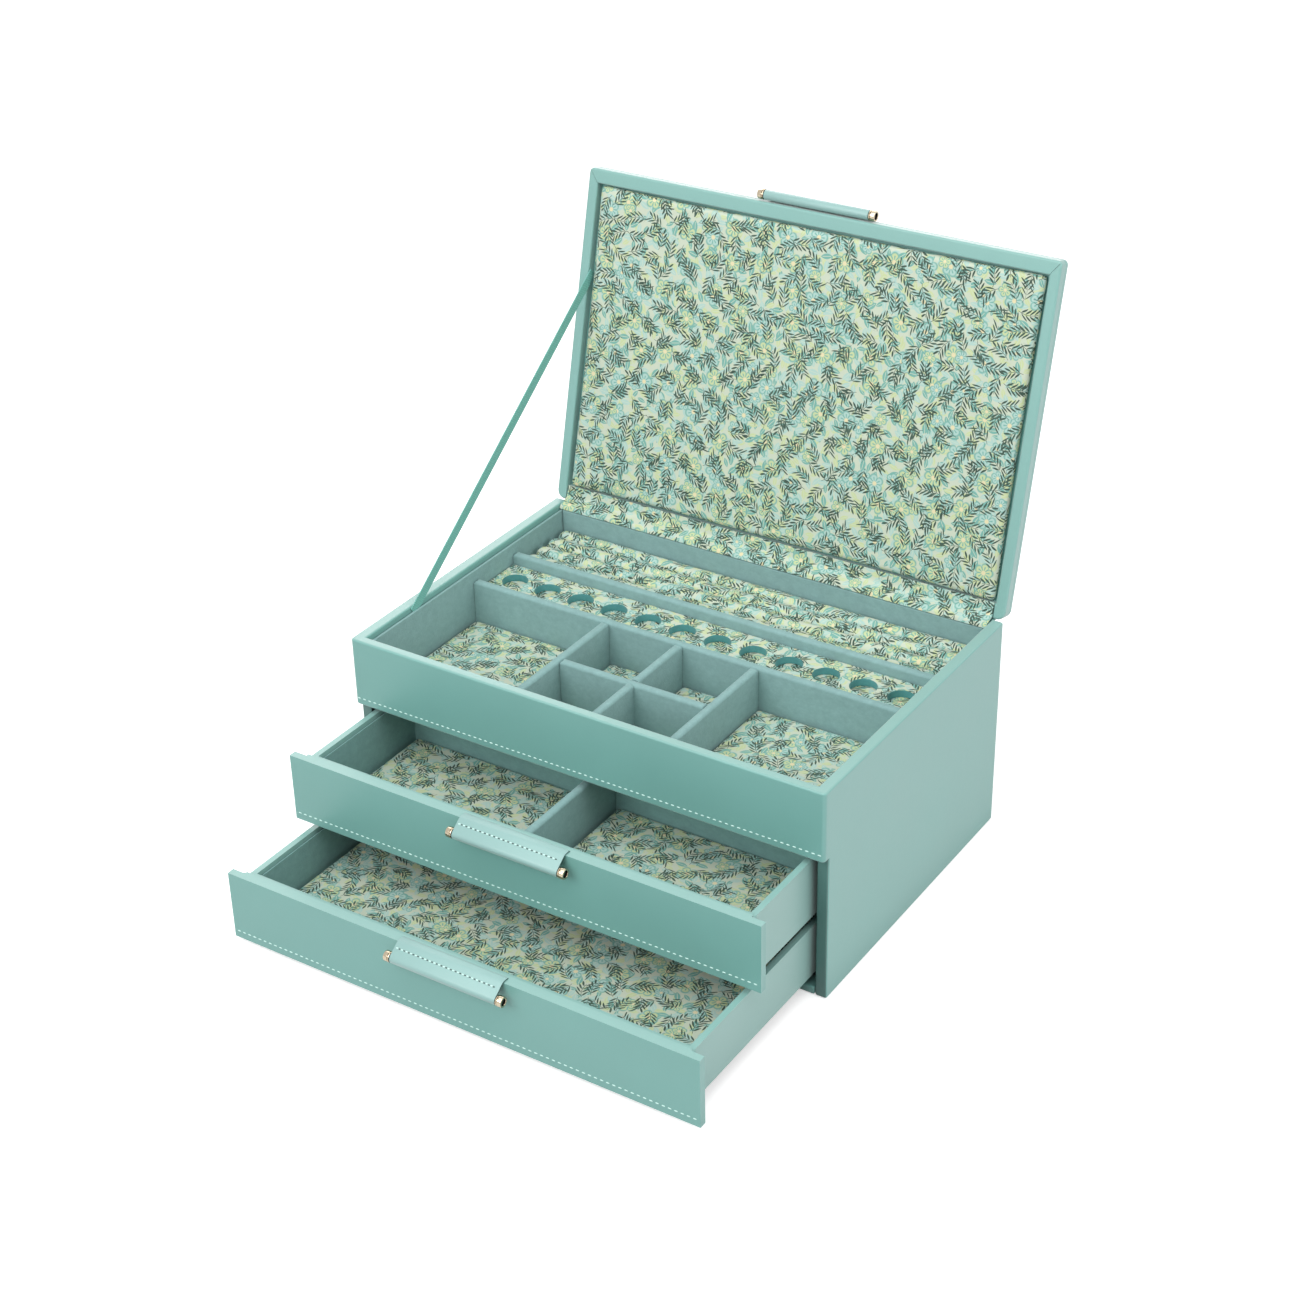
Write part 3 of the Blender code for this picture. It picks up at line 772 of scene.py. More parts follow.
def rounded_path(points, radius, steps):
    """The line through (y, z) points, with each corner replaced by a short curve."""
    places = [Vector(point) for point in points]
    path = [places[0]]
    for before, corner, after in zip(places, places[1:], places[2:]):
        start = corner + (before - corner).normalized() * min(radius, (before - corner).length / 2)
        end = corner + (after - corner).normalized() * min(radius, (after - corner).length / 2)
        for step in range(steps + 1):
            share = step / steps
            path.append(start.lerp(corner, share).lerp(corner.lerp(end, share), share))
    path.append(places[-1])
    return [tuple(place) for place in path]


def length_along(path, place):
    """How far along a line of (y, z) points it comes closest to a place."""
    nearest, best, gone = 0.0, math.inf, 0.0
    for start, end in zip(map(Vector, path), map(Vector, path[1:])):
        run = end - start
        share = min(max((place - start).dot(run) / run.length_squared, 0.0), 1.0)
        away = (start + run * share - place).length
        if away < best:
            best, nearest = away, gone + run.length * share
        gone += run.length
    return nearest


def on_open_lid(along, depth):
    """The (y, z) place on the open lid that lies along it from the hinge and depth behind its inner side."""
    opened = lid_lift @ Vector((0, hinge_line.y - along, hinge_line.z + depth))
    return opened.y, opened.z


def turned_piece(name, profile, sides):
    """A turned piece about Z: a disc's face is extruded and resized through (radius, height) steps."""
    clear_selection()
    first, base = profile[0]
    bpy.ops.mesh.primitive_circle_add(vertices=sides, radius=first, fill_type="NGON", location=(0, 0, base))
    obj = added(name)
    settle()
    with editing(obj, part="FACE"):
        for (radius, height), (next_radius, next_height) in zip(profile, profile[1:]):
            bpy.ops.mesh.extrude_region_move(TRANSFORM_OT_translate={"value": (0, 0, next_height - height)})
            ratio = next_radius / radius
            bpy.ops.transform.resize(value=(ratio, ratio, 1), center_override=(0, 0, next_height))
        bpy.ops.mesh.select_all(action="SELECT")
        bpy.ops.mesh.normals_make_consistent(inside=False)
    return obj


def stitch_row(name, start, pitch, count, length, width, face_turn):
    """A row of stitches along X from start: flattened beads of thread that lie on a face turned about X."""
    slant = math.radians(4)
    clear_selection()
    bpy.ops.mesh.primitive_uv_sphere_add(segments=8, ring_count=6, radius=0.5, rotation=(0, math.pi / 2, 0))
    obj = added(name)
    settle()
    obj.scale = (length, width, width * 0.8)
    obj.rotation_euler = (face_turn, 0, slant)
    obj.location = start
    settle()
    bpy.ops.object.shade_smooth()
    apply_modifier(
        obj,
        "ARRAY",
        count=count,
        use_relative_offset=False,
        use_constant_offset=True,
        constant_offset_displace=x_axis * pitch,
    )
    return obj


# Pieces


class BOX_OT_case(Operator):
    """Wrap the walls, the tray's front and the back and base boards in leather"""

    bl_idname = "jewellery_box.case"
    bl_label = "Case"

    def execute(self, context):
        sizes = context.scene.box_sizes
        left_low, left_high = node_box("side_panel_left")
        right_low, right_high = node_box("side_panel_right")
        front_low, front_high = node_box("tray_front_panel")
        wide, deep, lap = 0.05, 0.3, 0.001
        back_y, top = left_high.y + wide, left_high.z + wide
        ahead, below = front_low.y - wide, -wide
        case = block("case", (left_low.x, front_low.y, 0), (right_high.x, left_high.y, left_high.z))
        cut_away(case, (left_high.x, front_high.y, below), (right_low.x, back_y, top))
        cut_away(case, (left_low.x - wide, ahead, below), (right_high.x + wide, left_low.y, front_low.z))
        cut_away(case, (left_high.x, ahead, below), (right_low.x, back_y, front_low.z))
        round_edges(
            case,
            sizes.corner_radius,
            6,
            lambda middle, along, bend: bend > 0
            and upright(middle, along, bend)
            and middle.y < front_low.y + touching,
        )
        round_edges(case, sizes.rim_radius, 4, outer_corner)
        front_room = block(
            "front_room",
            (left_low.x - wide, ahead, front_low.z - lap),
            (right_high.x + wide, left_low.y, top),
        )
        step_room = block(
            "step_room",
            (left_high.x + lap, front_low.y - wide / 2, front_low.z - 2 * lap),
            (right_low.x - lap, front_high.y + deep, left_high.z + wide / 2),
        )
        combine(front_room, step_room, "UNION")
        sides = copy_of(case, "case_sides")
        second_room = copy_of(front_room, "second_room")
        combine(case, front_room, "INTERSECT")
        combine(sides, second_room, "DIFFERENCE")
        case.name = "tray_front_leather"
        wrap_board(case, "case", "tray_front_panel", "leather", "pale_leather")
        # Painted highlight: the tray front's upward faces get the lighter leather.
        paint_faces(case, 1, faces_up)
        self.make_walls(sides, front_low.z)
        for name in ("back_panel", "base_panel"):
            board = block(f"{name}_leather", *node_box(name))
            round_edges(board, sizes.box_radius, 3, outer_corner)
            wrap_board(board, "case", name, "leather")
        return {"FINISHED"}

    def make_walls(self, sides, tray_z):
        """Part the two side walls. Below the tray, their front edges get a darker leather and their inner
        sides a near-black lining, both painted shade; above it, their upward faces get the lighter leather,
        a painted highlight.
        """
        line = tray_z + 0.0003
        lined = line + 0.0002
        for side, name in ((-1, "left"), (1, "right")):
            wall = copy_of(sides, f"side_{name}_leather")
            halve(wall, (0, 0, 0), (side, 0, 0))
            halve(wall, (0, 0, line), (0, 0, 1), keep_all=True)
            finishes = ("leather", "edge_leather", "dark_lining", "pale_leather")
            wrap_board(wall, "case", f"side_panel_{name}", *finishes)
            # Painted shade: the front edges below the tray get the darker leather.
            paint_faces(wall, 1, lambda place, normal: normal.y < -0.8 and place.z < lined)
            # Painted shade: the inner sides below the tray get the near-black lining.
            paint_faces(wall, 2, lambda place, normal: normal.x * side < -0.8 and place.z < lined)
            # Painted highlight: the upward faces above the tray get the lighter leather.
            paint_faces(wall, 3, lambda place, normal: faces_up(place, normal) and place.z > lined)
        bpy.data.objects.remove(sides, do_unlink=True)


class BOX_OT_linings(Operator):
    """Cover the liners and dividers in suede and the hidden boards in a near-black lining, painted shade"""

    bl_idname = "jewellery_box.linings"
    bl_label = "Linings and dividers"

    def execute(self, context):
        lined = {f"tray_liner_{side}": "suede" for side in ("left", "right", "front", "back")}
        # The drawers' liners get the darker suede, painted shade.
        lined |= {f"{drawer}_liner": "drawer_suede" for drawer in drawers}
        # The hidden boards get the near-black lining, painted shade.
        lined |= dict.fromkeys(("drawer_bed", "drawer_shelf", "tray_floor"), "dark_lining")
        for name, finish in lined.items():
            plain = frame["nodes"][name]
            plain.data.materials.clear()
            plain.data.materials.append(finish_of(finish))
        kinds = ("rings", "studs", "left", "middle", "right", "cross")
        bodies = {f"divider_{kind}": "case" for kind in kinds} | {"upper_drawer_divider": "upper_drawer"}
        for name, body in bodies.items():
            low, high = node_box(name)
            divider = block(f"{name}_suede", low, high)
            round_edges(divider, context.scene.box_sizes.divider_radius, 5, above(high.z))
            if name == "divider_middle":
                cross_low, cross_high = node_box("divider_cross")
                half = (low.z + high.z) / 2
                slot_low = (low.x - overrun, cross_low.y, half)
                cut_away(divider, slot_low, (high.x + overrun, cross_high.y, high.z + overrun))
            smooth_board(divider)
            dress(divider, body, [name], "suede", "suede")
        return {"FINISHED"}


class BOX_OT_pads(Operator):
    """Fill the padded floors of the tray and drawers"""

    bl_idname = "jewellery_box.pads"
    bl_label = "Padded floors"

    def execute(self, context):
        for name in ("cell_pad_left", "cell_pad_right"):
            make_pad(name, "case")
        for row in ("front", "back"):
            for side in ("left", "right"):
                make_pad(f"small_cell_pad_{row}_{side}", "case", voxel=0.0018)
        for side in ("left", "right"):
            make_pad(f"upper_drawer_pad_{side}", "upper_drawer", voxel=0.0024)
        make_pad("lower_drawer_pad", "lower_drawer", voxel=0.0026)
        return {"FINISHED"}


class BOX_OT_rolls(Operator):
    """Roll the four cushions that rings stand between"""

    bl_idname = "jewellery_box.rolls"
    bl_label = "Ring rolls"

    def execute(self, context):
        margin = Vector((0.0006, 0.0004, 0))
        base, radius, voxel = 0.002, 0.0046, 0.0019
        for index in range(1, 5):
            name = f"ring_roll_{index}"
            low, high = node_box(name)
            roll = block(f"{name}_cloth", low + margin, high - margin)
            round_edges(roll, radius, 5, above(low.z + base))
            plump(roll, voxel, low, high, z_axis, pressure=2.0, most=0.0006)
            lay_cloth(roll)
            dress(roll, "case", [name], "printed_cloth", "printed_cotton")
        return {"FINISHED"}


class BOX_OT_stud_strip(Operator):
    """Punch the row of lined holes for stud earrings"""

    bl_idname = "jewellery_box.stud_strip"
    bl_label = "Stud strip"

    def execute(self, context):
        sizes = context.scene.box_sizes
        panel_radius, hole_edge, block_radius = 0.0014, 0.0007, 0.0008
        low, high = node_box("stud_panel")
        panel = block("stud_panel_cloth", low, high)
        round_edges(panel, panel_radius, 4, above(high.z))
        centre = (low + high) / 2
        for index in range(sizes.hole_count):
            x = (index - (sizes.hole_count - 1) / 2) * sizes.hole_pitch
            clear_selection()
            bpy.ops.mesh.primitive_cylinder_add(
                vertices=40, radius=sizes.hole_radius, depth=2 * overrun, location=(x, centre.y, centre.z)
            )
            punch = added("punch")
            settle()
            combine(panel, punch, "DIFFERENCE")
        on_top = above(high.z)
        round_edges(
            panel,
            hole_edge,
            3,
            lambda middle, along, bend: on_top(middle, along, bend) and bend > math.radians(60),
        )
        smooth_board(panel)
        lay_cloth(panel)
        dress(panel, "case", ["stud_panel"], "printed_cloth", "printed_cotton", "hole_lining")
        end_margin, side_margin = 0.004, 0.002
        rim_x, rim_y = high.x - end_margin, (high.y - low.y) / 2 - side_margin

        def in_hole(place, normal):
            return abs(normal.z) < 0.5 and abs(place.y - centre.y) < rim_y and abs(place.x) < rim_x

        paint_faces(panel, 1, in_hole)
        base = block("stud_block_cloth", *node_box("stud_block"))
        round_edges(base, block_radius, 2, outer_corner)
        smooth_board(base)
        lay_cloth(base)
        dress(base, "case", ["stud_block"], "printed_cloth", "printed_cotton")
        return {"FINISHED"}


class BOX_OT_lid(Operator):
    """Wrap the lid's frame and board in leather and pad its inner side"""

    bl_idname = "jewellery_box.lid"
    bl_label = "Lid"

    def execute(self, context):
        sizes = context.scene.box_sizes
        low, high = node_box("lid_frame", True)
        top_low, top_high = node_box("lid_board", True)
        lining_rise, lining_depth = 0.0011, 0.004

        def round_corners(obj):
            for at_back, radius in ((False, sizes.lid_front_corner), (True, sizes.lid_back_corner)):
                round_edges(
                    obj,
                    radius,
                    5,
                    lambda middle, along, bend: upright(middle, along, bend)
                    and bend > 0
                    and abs(middle.x) > high.x - 5 * touching
                    and (middle.y > 0) == at_back,
                )

        ring = block("lid_frame_leather", low, (high.x, high.y, top_low.z))
        open_low = Vector((low.x + sizes.side_rail, low.y + sizes.front_rail, low.z - overrun))
        open_high = Vector((high.x - sizes.side_rail, high.y - sizes.back_rail, high.z + overrun))
        round_corners(ring)
        cut_away(ring, open_low, open_high)
        round_edges(
            ring, sizes.rim_radius, 4, lambda middle, along, bend: bend > 0 and middle.z < low.z + touching
        )
        recess_low = (open_low.x, open_high.y - lining_depth, open_low.z)
        cut_away(ring, recess_low, (open_high.x, high.y + overrun, low.z + lining_rise))
        for side in (-1, 1):
            corner = Vector((side * high.x, low.y, low.z))
            inner = Vector((side * open_high.x, open_low.y, low.z))
            self.cut_mitre(ring, corner, inner)
        board = block("lid_board_leather", top_low, top_high)
        round_corners(board)
        round_edges(board, sizes.rim_radius, 4, above(top_high.z))
        # The frame gets the lighter leather, a painted highlight.
        for piece, node, leather in ((ring, "lid_frame", "pale_leather"), (board, "lid_board", "leather")):
            lift_with_lid(piece)
            wrap_board(piece, "lid", node, leather)
        make_pad("lid_pad", "lid", spare=(0.0004, 0.0), proud=0.0009, voxel=0.0024, shut_lid=True, evening=1)
        return {"FINISHED"}

    def cut_mitre(self, ring, corner, inner):
        """Score the line where two strips of leather meet, from a lid's corner to that of its opening."""
        width, depth, reach = 0.00022, 0.0014, 1.3
        run = inner - corner
        clear_selection()
        bpy.ops.mesh.primitive_cube_add(size=1, location=(corner + inner) / 2)
        mitre = added("mitre")
        mitre.scale = (run.length * reach, width, depth)
        mitre.rotation_euler = (0, 0, math.atan2(run.y, run.x))
        settle()
        combine(ring, mitre, "DIFFERENCE")


class BOX_OT_hinge_strips(Operator):
    """Lay the printed strip and the leather spine over the hinge"""

    bl_idname = "jewellery_box.hinge_strips"
    bl_label = "Hinge strips"

    def execute(self, context):
        sizes = context.scene.box_sizes
        liner_low, liner_high = node_box("tray_liner_back")
        back_low, back_high = node_box("back_panel")
        half_x = node_box("hinge_lining")[1].x
        thick, gap, rise = 0.0006, 0.0003, 0.0008
        on_liner, onto_lid, on_frame, bend_end = 0.0002, 0.0020, 0.0004, 0.004
        lift = thick / 2 + gap
        points = [
            (liner_low.y + on_liner, liner_high.z + lift),
            (back_low.y - lift, back_high.z + lift),
            on_open_lid(back_high.z + lift - hinge_line.z + onto_lid, rise),
            on_open_lid(sizes.back_rail + on_frame, rise),
        ]
        path = rounded_path(points, radius=0.0022, steps=8)
        lining = sweep_strip("hinge_lining_cloth", path, half_x, thick)
        layer = fresh_uvs(lining.data, "cloth")
        for loop in lining.data.loops:
            place = lining.data.vertices[loop.vertex_index].co
            layer.data[loop.index].uv = (place.x, length_along(path, place.yz))
        shade_by_angle(lining)
        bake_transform(lining, "case", "lid", (0, back_low.y, back_high.z), (0, *on_open_lid(bend_end, 0)))
        dress(lining, None, ["hinge_lining"], "printed_cloth", "printed_cotton")

        below_hinge, past_hinge, top_edge, half_bend = 0.0012, 0.0016, 0.0088, 0.0015
        spine_low, spine_high = node_box("hinge_spine")
        points = [
            (back_high.y + lift, spine_low.z),
            (back_high.y + lift, hinge_line.z - below_hinge),
            on_open_lid(-lift, past_hinge),
            on_open_lid(-lift, top_edge),
        ]
        path = rounded_path(points, radius=0.0016, steps=8)
        spine = sweep_strip("hinge_spine_leather", path, spine_high.x - sizes.lid_back_corner, thick)
        shade_by_angle(spine)
        bend_start = (0, back_high.y, hinge_line.z - half_bend)
        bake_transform(spine, "case", "lid", bend_start, (0, *on_open_lid(0, half_bend)))
        dress(spine, None, ["hinge_spine"], "leather", "leather")
        return {"FINISHED"}


class BOX_OT_ribbon(Operator):
    """Stretch the ribbon that holds the open lid"""

    bl_idname = "jewellery_box.ribbon"
    bl_label = "Ribbon"

    def execute(self, context):
        low, high = node_box("lid_ribbon")
        width = context.scene.box_sizes.ribbon_width
        half_thick, foot_hem, head_hem = 0.00022, 0.0070, 0.0020
        head_along, head_depth, foot_y, foot_gap = 0.1395, 0.0020, -0.0480, 0.0003
        head = Vector((0, *on_open_lid(head_along, head_depth)))
        foot = Vector((0, foot_y, node_box("tray_liner_left")[1].z + foot_gap + width / 2))
        run = (head - foot).normalized()
        first, last = foot - run * foot_hem, head + run * head_hem
        length = (last - first).length
        corner = Vector((half_thick, length / 2, width / 2))
        ribbon = block("lid_ribbon_twill", -corner, corner)
        with editing(ribbon, "DESELECT", "EDGE"):
            select_edges(ribbon, lambda start, end: abs(start.y - end.y) > length / 2)
            bpy.ops.mesh.subdivide(number_cuts=70)
        layer = fresh_uvs(ribbon.data, "weave")
        for loop in ribbon.data.loops:
            layer.data[loop.index].uv = ribbon.data.vertices[loop.vertex_index].co.yz
        middle = (first + last) / 2
        turn = Matrix.Rotation(math.atan2(run.z, run.y), 4, "X")
        ribbon.data.transform(Matrix.Translation(((low.x + high.x) / 2, middle.y, middle.z)) @ turn)
        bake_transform(ribbon, "case", "lid", foot, head)
        dress(ribbon, None, ["lid_ribbon"], "ribbon", "ribbon_twill")
        return {"FINISHED"}


class BOX_OT_drawers(Operator):
    """Wrap the drawers in leather, with their fronts flared out from their sides"""

    bl_idname = "jewellery_box.drawers"
    bl_label = "Drawers"

    def execute(self, context):
        sizes = context.scene.box_sizes
        wall, lap, past_flare = sizes.drawer_wall, 0.001, 0.0008
        for drawer in drawers:
            low, high = node_box(f"{drawer}_front")
            box_low, box_high = node_box(f"{drawer}_box")
            plate_back = low.y + sizes.front_thick
            hull = block(drawer, low, (high.x, plate_back, high.z))
            step = block("step", (box_low.x, low.y + lap, box_low.z), (box_high.x, high.y, high.z))
            combine(hull, step, "UNION")
            combine(hull, block("body", (box_low.x, low.y + 2 * lap, box_low.z), box_high), "UNION")
            cut_away(
                hull,
                (box_low.x + wall, box_low.y + wall, box_low.z + sizes.drawer_floor),
                (box_high.x - wall, box_high.y - wall, box_high.z + 5 * overrun),
            )
            round_edges(
                hull,
                sizes.flare_radius,
                6,
                lambda middle, along, bend: bend < 0
                and upright(middle, along, bend)
                and abs(middle.y - plate_back) < 2 * touching
                and abs(abs(middle.x) - box_high.x) < 2 * touching,
            )
            round_edges(hull, sizes.front_radius, 4, outer_corner)
            split_y = plate_back + sizes.flare_radius + past_flare
            front = copy_of(hull, f"{drawer}_front_leather")
            halve(front, (0, split_y, 0), (0, -1, 0))
            halve(hull, (0, split_y, 0), (0, 1, 0))
            hull.name = f"{drawer}_box_leather"
            # The box is wrapped in the lighter leather, a painted highlight, and the front in plain leather.
            for piece, part, leather in ((front, "front", "leather"), (hull, "box", "pale_leather")):
                wrap_board(piece, drawer, f"{drawer}_{part}", leather, "dark_lining", "pale_leather")
            # Painted shade: the box's underside gets the near-black lining.
            paint_faces(hull, 1, lambda place, normal: normal.z < -0.8)
            # Painted highlight: the front's upward faces get the lighter leather.
            paint_faces(front, 2, faces_up)
        return {"FINISHED"}


class BOX_OT_handles(Operator):
    """Fold the leather tabs round their rods and cap the rods' ends"""

    bl_idname = "jewellery_box.handles"
    bl_label = "Handles"

    def execute(self, context):
        self.make_handle(context.scene.box_sizes, "lid", "lid_board")
        for drawer in drawers:
            self.make_handle(context.scene.box_sizes, drawer, f"{drawer}_front")
        return {"FINISHED"}

    def make_handle(self, sizes, owner, board):
        """One handle. Its tab goes into the board's top edge, out over its brow and round the rod."""
        shut = owner == "lid"
        gap, sunk, fold, seam_share, raised = 0.0001, 0.0015, 0.0014, 0.42, 0.00002
        wrap_steps, wrap_turn, edge_radius, overhang = 18, math.radians(13.5), 0.0002, 0.0004
        low, high = node_box(board, shut)
        rod_low, rod_high = node_box(f"{owner}_handle_rod", shut)
        tab_low, tab_high = node_box(f"{owner}_handle_tab", shut)
        axis = (rod_low.yz + rod_high.yz) / 2
        half_x = (tab_high.x - tab_low.x) / 2
        thick = sizes.tab_thick
        lift = thick / 2 + gap
        loop = sizes.cap_radius - thick / 2 - 1.5 * gap
        brow = Vector((low.y - lift, high.z + lift))
        away = brow - axis
        swing = math.atan2(away.y, away.x) + math.acos(loop / away.length)

        def round_rod(angle):
            return axis + loop * Vector((math.cos(angle), math.sin(angle)))

        touch = round_rod(swing)
        slot_y = low.y + sizes.tab_setback
        path = rounded_path([(slot_y, high.z - sunk), (slot_y, high.z + lift), brow, touch], fold, 5)
        path += [tuple(round_rod(swing + wrap_turn * step)) for step in range(1, wrap_steps + 1)]
        tab = sweep_strip(f"{owner}_tab_leather", path, half_x, thick)
        round_edges(tab, edge_radius, 2, lambda middle, along, bend: abs(along.x) < 0.5 and bend > 0)
        shade_by_angle(tab)
        core, end_x = loop - thick / 2, half_x + overhang
        rod = turned_piece(f"{owner}_rod_core", [(core, -end_x), (core, end_x)], 32)
        rod.data.transform(Matrix.Translation((0, *axis)) @ Matrix.Rotation(math.pi / 2, 4, "Y"))
        shade_by_angle(rod)
        pieces = [
            # The tab is in the paler leather, a painted highlight, with dark edge paint on its cut edges.
            (tab, [f"{owner}_handle_tab"], "leather", ("tab_leather", "edge_paint")),
            (rod, [f"{owner}_handle_rod"], "champagne_metal", ("gilt",)),
        ]
        slope = Vector((0, *(touch - brow)))
        normal = Vector((0, slope.z, -slope.y)).normalized()
        normal *= math.copysign(1, normal.z)
        seam = Vector((0, *brow)) + slope * seam_share + normal * (thick / 2 + raised)
        face_turn = math.atan2(slope.z, slope.y)
        pitch, count, first_x, width = 0.0030, 21, -0.0315, 0.00080
        # The piercings are dark beads between the stitches: painted shade in the stitch holes.
        for kind, finish, length, shift in (
            ("stitches", "thread", 0.0017, 0.0),
            ("piercings", "edge_paint", 0.0014, pitch / 2),
        ):
            start = seam + x_axis * (first_x + shift)
            row = stitch_row(f"{owner}_tab_{kind}", start, pitch, count, length, width, face_turn)
            pieces.append((row, [], "leather", (finish,)))
        for side, end in ((-1, "left"), (1, "right")):
            node = f"{owner}_handle_cap_{end}"
            cap = self.make_cap(f"{owner}_cap_{end}_gilt", sizes, node_box(node, shut), side, axis)
            pieces.append((cap, [node], "champagne_metal", ("gilt", "gilt_shadow")))
        for piece, nodes, slot, finishes in pieces:
            if shut:
                lift_with_lid(piece)
            dress(piece, owner, nodes, slot, *finishes)
        paint_faces(tab, 1, lambda place, normal: abs(normal.x) > 0.6)

    def make_cap(self, name, sizes, corners, side, axis):
        """A turned cap with a hollow end and a groove, both darkened with painted shade."""
        low, high = corners
        bore, groove, groove_end = 0.68, 0.92, 0.3
        length, radius = sizes.cap_length, sizes.cap_radius
        profile_shares = (
            (0.80, 0.0),
            (0.97, 0.04),
            (1.0, 0.10),
            (1.0, 0.18),
            (0.90, 0.22),
            (0.90, 0.28),
            (1.0, 0.32),
            (1.0, 0.92),
            (0.95, 1.0),
            (0.72, 1.0),
            (0.66, 0.95),
            (0.64, 0.78),
            (0.20, 0.76),
        )
        cap = turned_piece(name, [(radius * out, length * up) for out, up in profile_shares], 36)

        def hollow(place, normal):
            out = math.hypot(place.x, place.y)
            return out < radius * bore or (out < radius * groove and place.z < length * groove_end)

        # Painted shade: the hollow end and the groove get the dark gilt.
        paint_faces(cap, 1, hollow)
        turn = Matrix.Rotation(side * math.pi / 2, 4, "Y")
        start = low.x if side > 0 else high.x
        cap.data.transform(Matrix.Translation((start, *axis)) @ turn)
        shade_by_angle(cap, 32)
        return cap


class BOX_OT_stitching(Operator):
    """Sew the rows of stitches along the lower edges of the fronts"""

    bl_idname = "jewellery_box.stitching"
    bl_label = "Stitching"

    def execute(self, context):
        sizes = context.scene.box_sizes
        pitch, length, width = sizes.stitch_pitch, sizes.stitch_length, sizes.stitch_width
        fronts = {"tray_front_panel": "case"} | {f"{drawer}_front": drawer for drawer in drawers}
        margin = 0.0015
        for name, body in fronts.items():
            low, high = node_box(name)
            count = int((high.x - low.x - margin) / pitch)
            start = Vector((-(count - 1) / 2 * pitch, low.y + width * 0.05, low.z + sizes.stitch_rise))
            row = stitch_row(f"{name}_stitches", start, pitch, count, length, width, math.pi / 2)
            dress(row, body, [], "leather_wrapped_board", "thread")
        return {"FINISHED"}


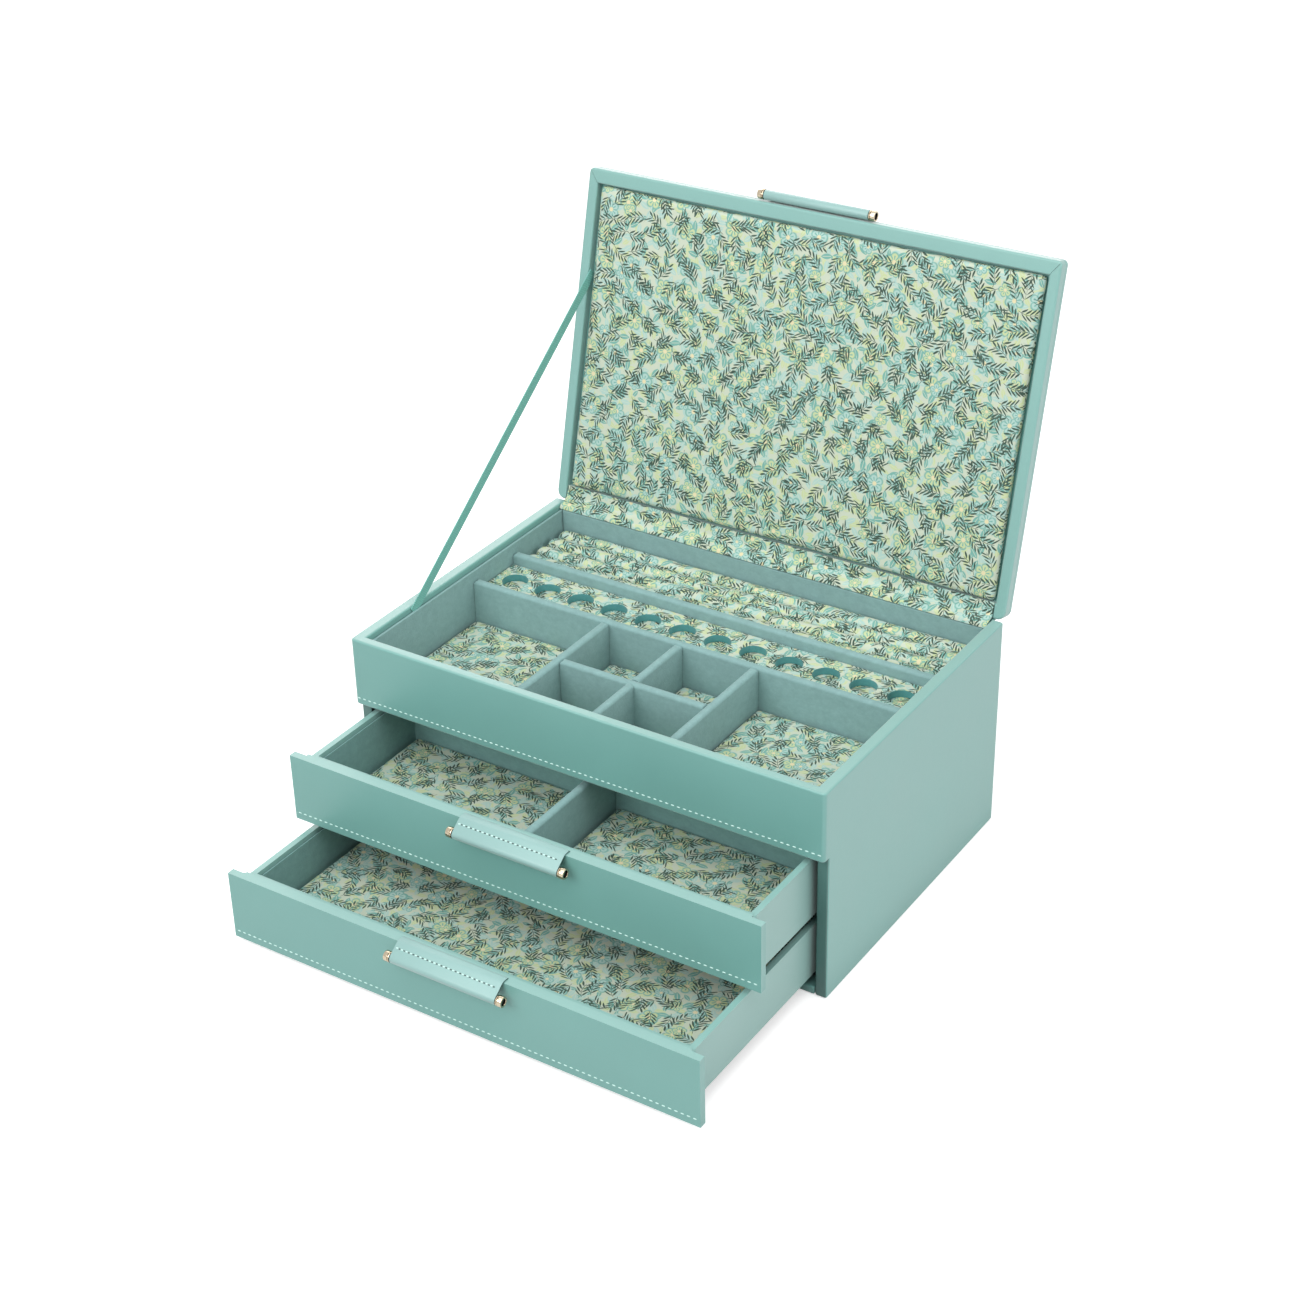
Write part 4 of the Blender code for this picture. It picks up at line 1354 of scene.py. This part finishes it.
class BOX_OT_stage(Operator):
    """Set the pale floor, the soft lights and the camera"""

    bl_idname = "jewellery_box.stage"
    bl_label = "Stage"

    white = (1.0, 1.0, 1.0, 1.0)

    def execute(self, context):
        self.lay_floor()
        self.light_world(context.scene)
        for name, place, width, height, power in (
            ("top_softbox", (0.25, -0.45, 1.55), 1.6, 1.4, 13.5),
            ("right_softbox", (1.65, 0.25, 0.65), 1.2, 1.0, 9.8),
            ("front_fill", (-0.40, -1.70, 1.20), 1.4, 1.1, 21.5),
            ("back_card", (-0.85, 1.20, 0.95), 1.5, 1.3, 14.0),
        ):
            lamp = bpy.data.lights.new(name, "AREA")
            lamp.shape = "RECTANGLE"
            lamp.size, lamp.size_y, lamp.energy = width, height, power
            holder = bpy.data.objects.new(name, lamp)
            context.scene.collection.objects.link(holder)
            holder.visible_diffuse = name != "back_card"
            holder.location = place
            holder.rotation_euler = (Vector((0, 0, 0.1)) - Vector(place)).to_track_quat("-Z", "Y").to_euler()
        self.set_camera(context.scene)
        context.scene.view_settings.view_transform = "Standard"
        return {"FINISHED"}

    def rays(self, bench):
        """The light path, and 1 on it where the camera, a reflection or glass sees the surface."""
        ray = bench.node("ShaderNodeLightPath")
        seen = ray.maths("MAXIMUM", ray.out("Is Glossy Ray"))
        return ray, seen.maths("MAXIMUM", ray.out("Is Transmission Ray"))

    def lay_floor(self):
        clear_selection()
        bpy.ops.mesh.primitive_plane_add(size=12, location=(0, 0, -0.0002))
        floor = added("floor")
        settle()
        bench = bench_for("pale_floor")
        ray, seen = self.rays(bench)
        diffuse = bench.node("ShaderNodeBsdfDiffuse", None, {"Color": (0.86, 0.86, 0.86, 1.0)})
        glow_plain, less_in_gloss, more_on_right, right_from = 0.48, 0.34, 0.32, 0.16
        on_right = bench.node("ShaderNodeSeparateXYZ", None, {"Vector": bench.place()}) > right_from
        glow = ray.out("Is Glossy Ray") * (on_right * more_on_right - less_in_gloss) + glow_plain
        lift = bench.node("ShaderNodeEmission", None, {"Color": self.white, "Strength": glow})
        bright = bench.node("ShaderNodeAddShader", None, {0: diffuse, 1: lift})
        dull = bench.node("ShaderNodeBsdfDiffuse", None, {"Color": (0.38, 0.38, 0.38, 1.0)})
        surface = bench.node("ShaderNodeMixShader", None, {0: seen, 1: dull, 2: bright})
        bench.node("ShaderNodeOutputMaterial", None, {"Surface": surface})
        floor.data.materials.append(bench.owner)

    def light_world(self, scene):
        scene.world = bpy.data.worlds.new("studio")
        bench = Bench(scene.world)
        _, seen = self.rays(bench)
        light = bench.node("ShaderNodeBackground", None, {"Color": self.white, "Strength": 0.58})
        backdrop = bench.node("ShaderNodeBackground", None, {"Color": self.white, "Strength": 1.0})
        surface = bench.node("ShaderNodeMixShader", None, {0: seen, 1: light, 2: backdrop})
        bench.node("ShaderNodeOutputWorld", None, {"Surface": surface})

    def set_camera(self, scene):
        azimuth, elevation, roll = math.radians(33.52), math.radians(30.39), math.radians(-1.343)
        place = Vector((0.64323, -0.99868, 0.81629))
        level = math.cos(elevation)
        back = Vector((math.sin(azimuth) * level, -math.cos(azimuth) * level, math.sin(elevation)))
        right = (-back).cross(z_axis).normalized()
        up = right.cross(-back)
        turned_right = right * math.cos(roll) + up * math.sin(roll)
        turned_up = up * math.cos(roll) - right * math.sin(roll)
        camera = bpy.data.cameras.new("camera")
        camera.sensor_width = 36.0
        camera.lens = 68.14
        holder = bpy.data.objects.new("camera", camera)
        scene.collection.objects.link(holder)
        turn = Matrix((turned_right, turned_up, back)).transposed().to_4x4()
        holder.matrix_world = Matrix.Translation(place) @ turn
        scene.camera = holder


piece_operators = (
    BOX_OT_case,
    BOX_OT_linings,
    BOX_OT_pads,
    BOX_OT_rolls,
    BOX_OT_stud_strip,
    BOX_OT_lid,
    BOX_OT_hinge_strips,
    BOX_OT_ribbon,
    BOX_OT_drawers,
    BOX_OT_handles,
    BOX_OT_stitching,
    BOX_OT_stage,
)


class BOX_PT_sidebar(Panel):
    """Lists the box's pieces, sizes and colours"""

    bl_idname = "BOX_PT_sidebar"
    bl_label = "Jewellery box"
    bl_space_type = "VIEW_3D"
    bl_region_type = "UI"
    bl_category = "Jewellery box"

    def draw(self, context):
        column = self.layout.column()
        for operator in piece_operators:
            column.operator(operator.bl_idname)
        for group in (context.scene.box_sizes, context.scene.box_colours):
            column.separator()
            for name in group.bl_rna.properties.keys():
                if name not in ("name", "rna_type"):
                    column.prop(group, name)


classes = (BoxSizes, BoxColours, *piece_operators, BOX_PT_sidebar)


def register():
    for item in classes:
        bpy.utils.register_class(item)
    bpy.types.Scene.box_sizes = PointerProperty(type=BoxSizes)
    bpy.types.Scene.box_colours = PointerProperty(type=BoxColours)


def unregister():
    del bpy.types.Scene.box_colours
    del bpy.types.Scene.box_sizes
    for item in reversed(classes):
        bpy.utils.unregister_class(item)


def main():
    register()
    for operator in piece_operators:
        group, name = operator.bl_idname.split(".")
        result = getattr(getattr(bpy.ops, group), name)()
        if "FINISHED" not in result:
            raise RuntimeError(f"{operator.bl_label} wasn't finished")


if __name__ == "__main__":
    main()
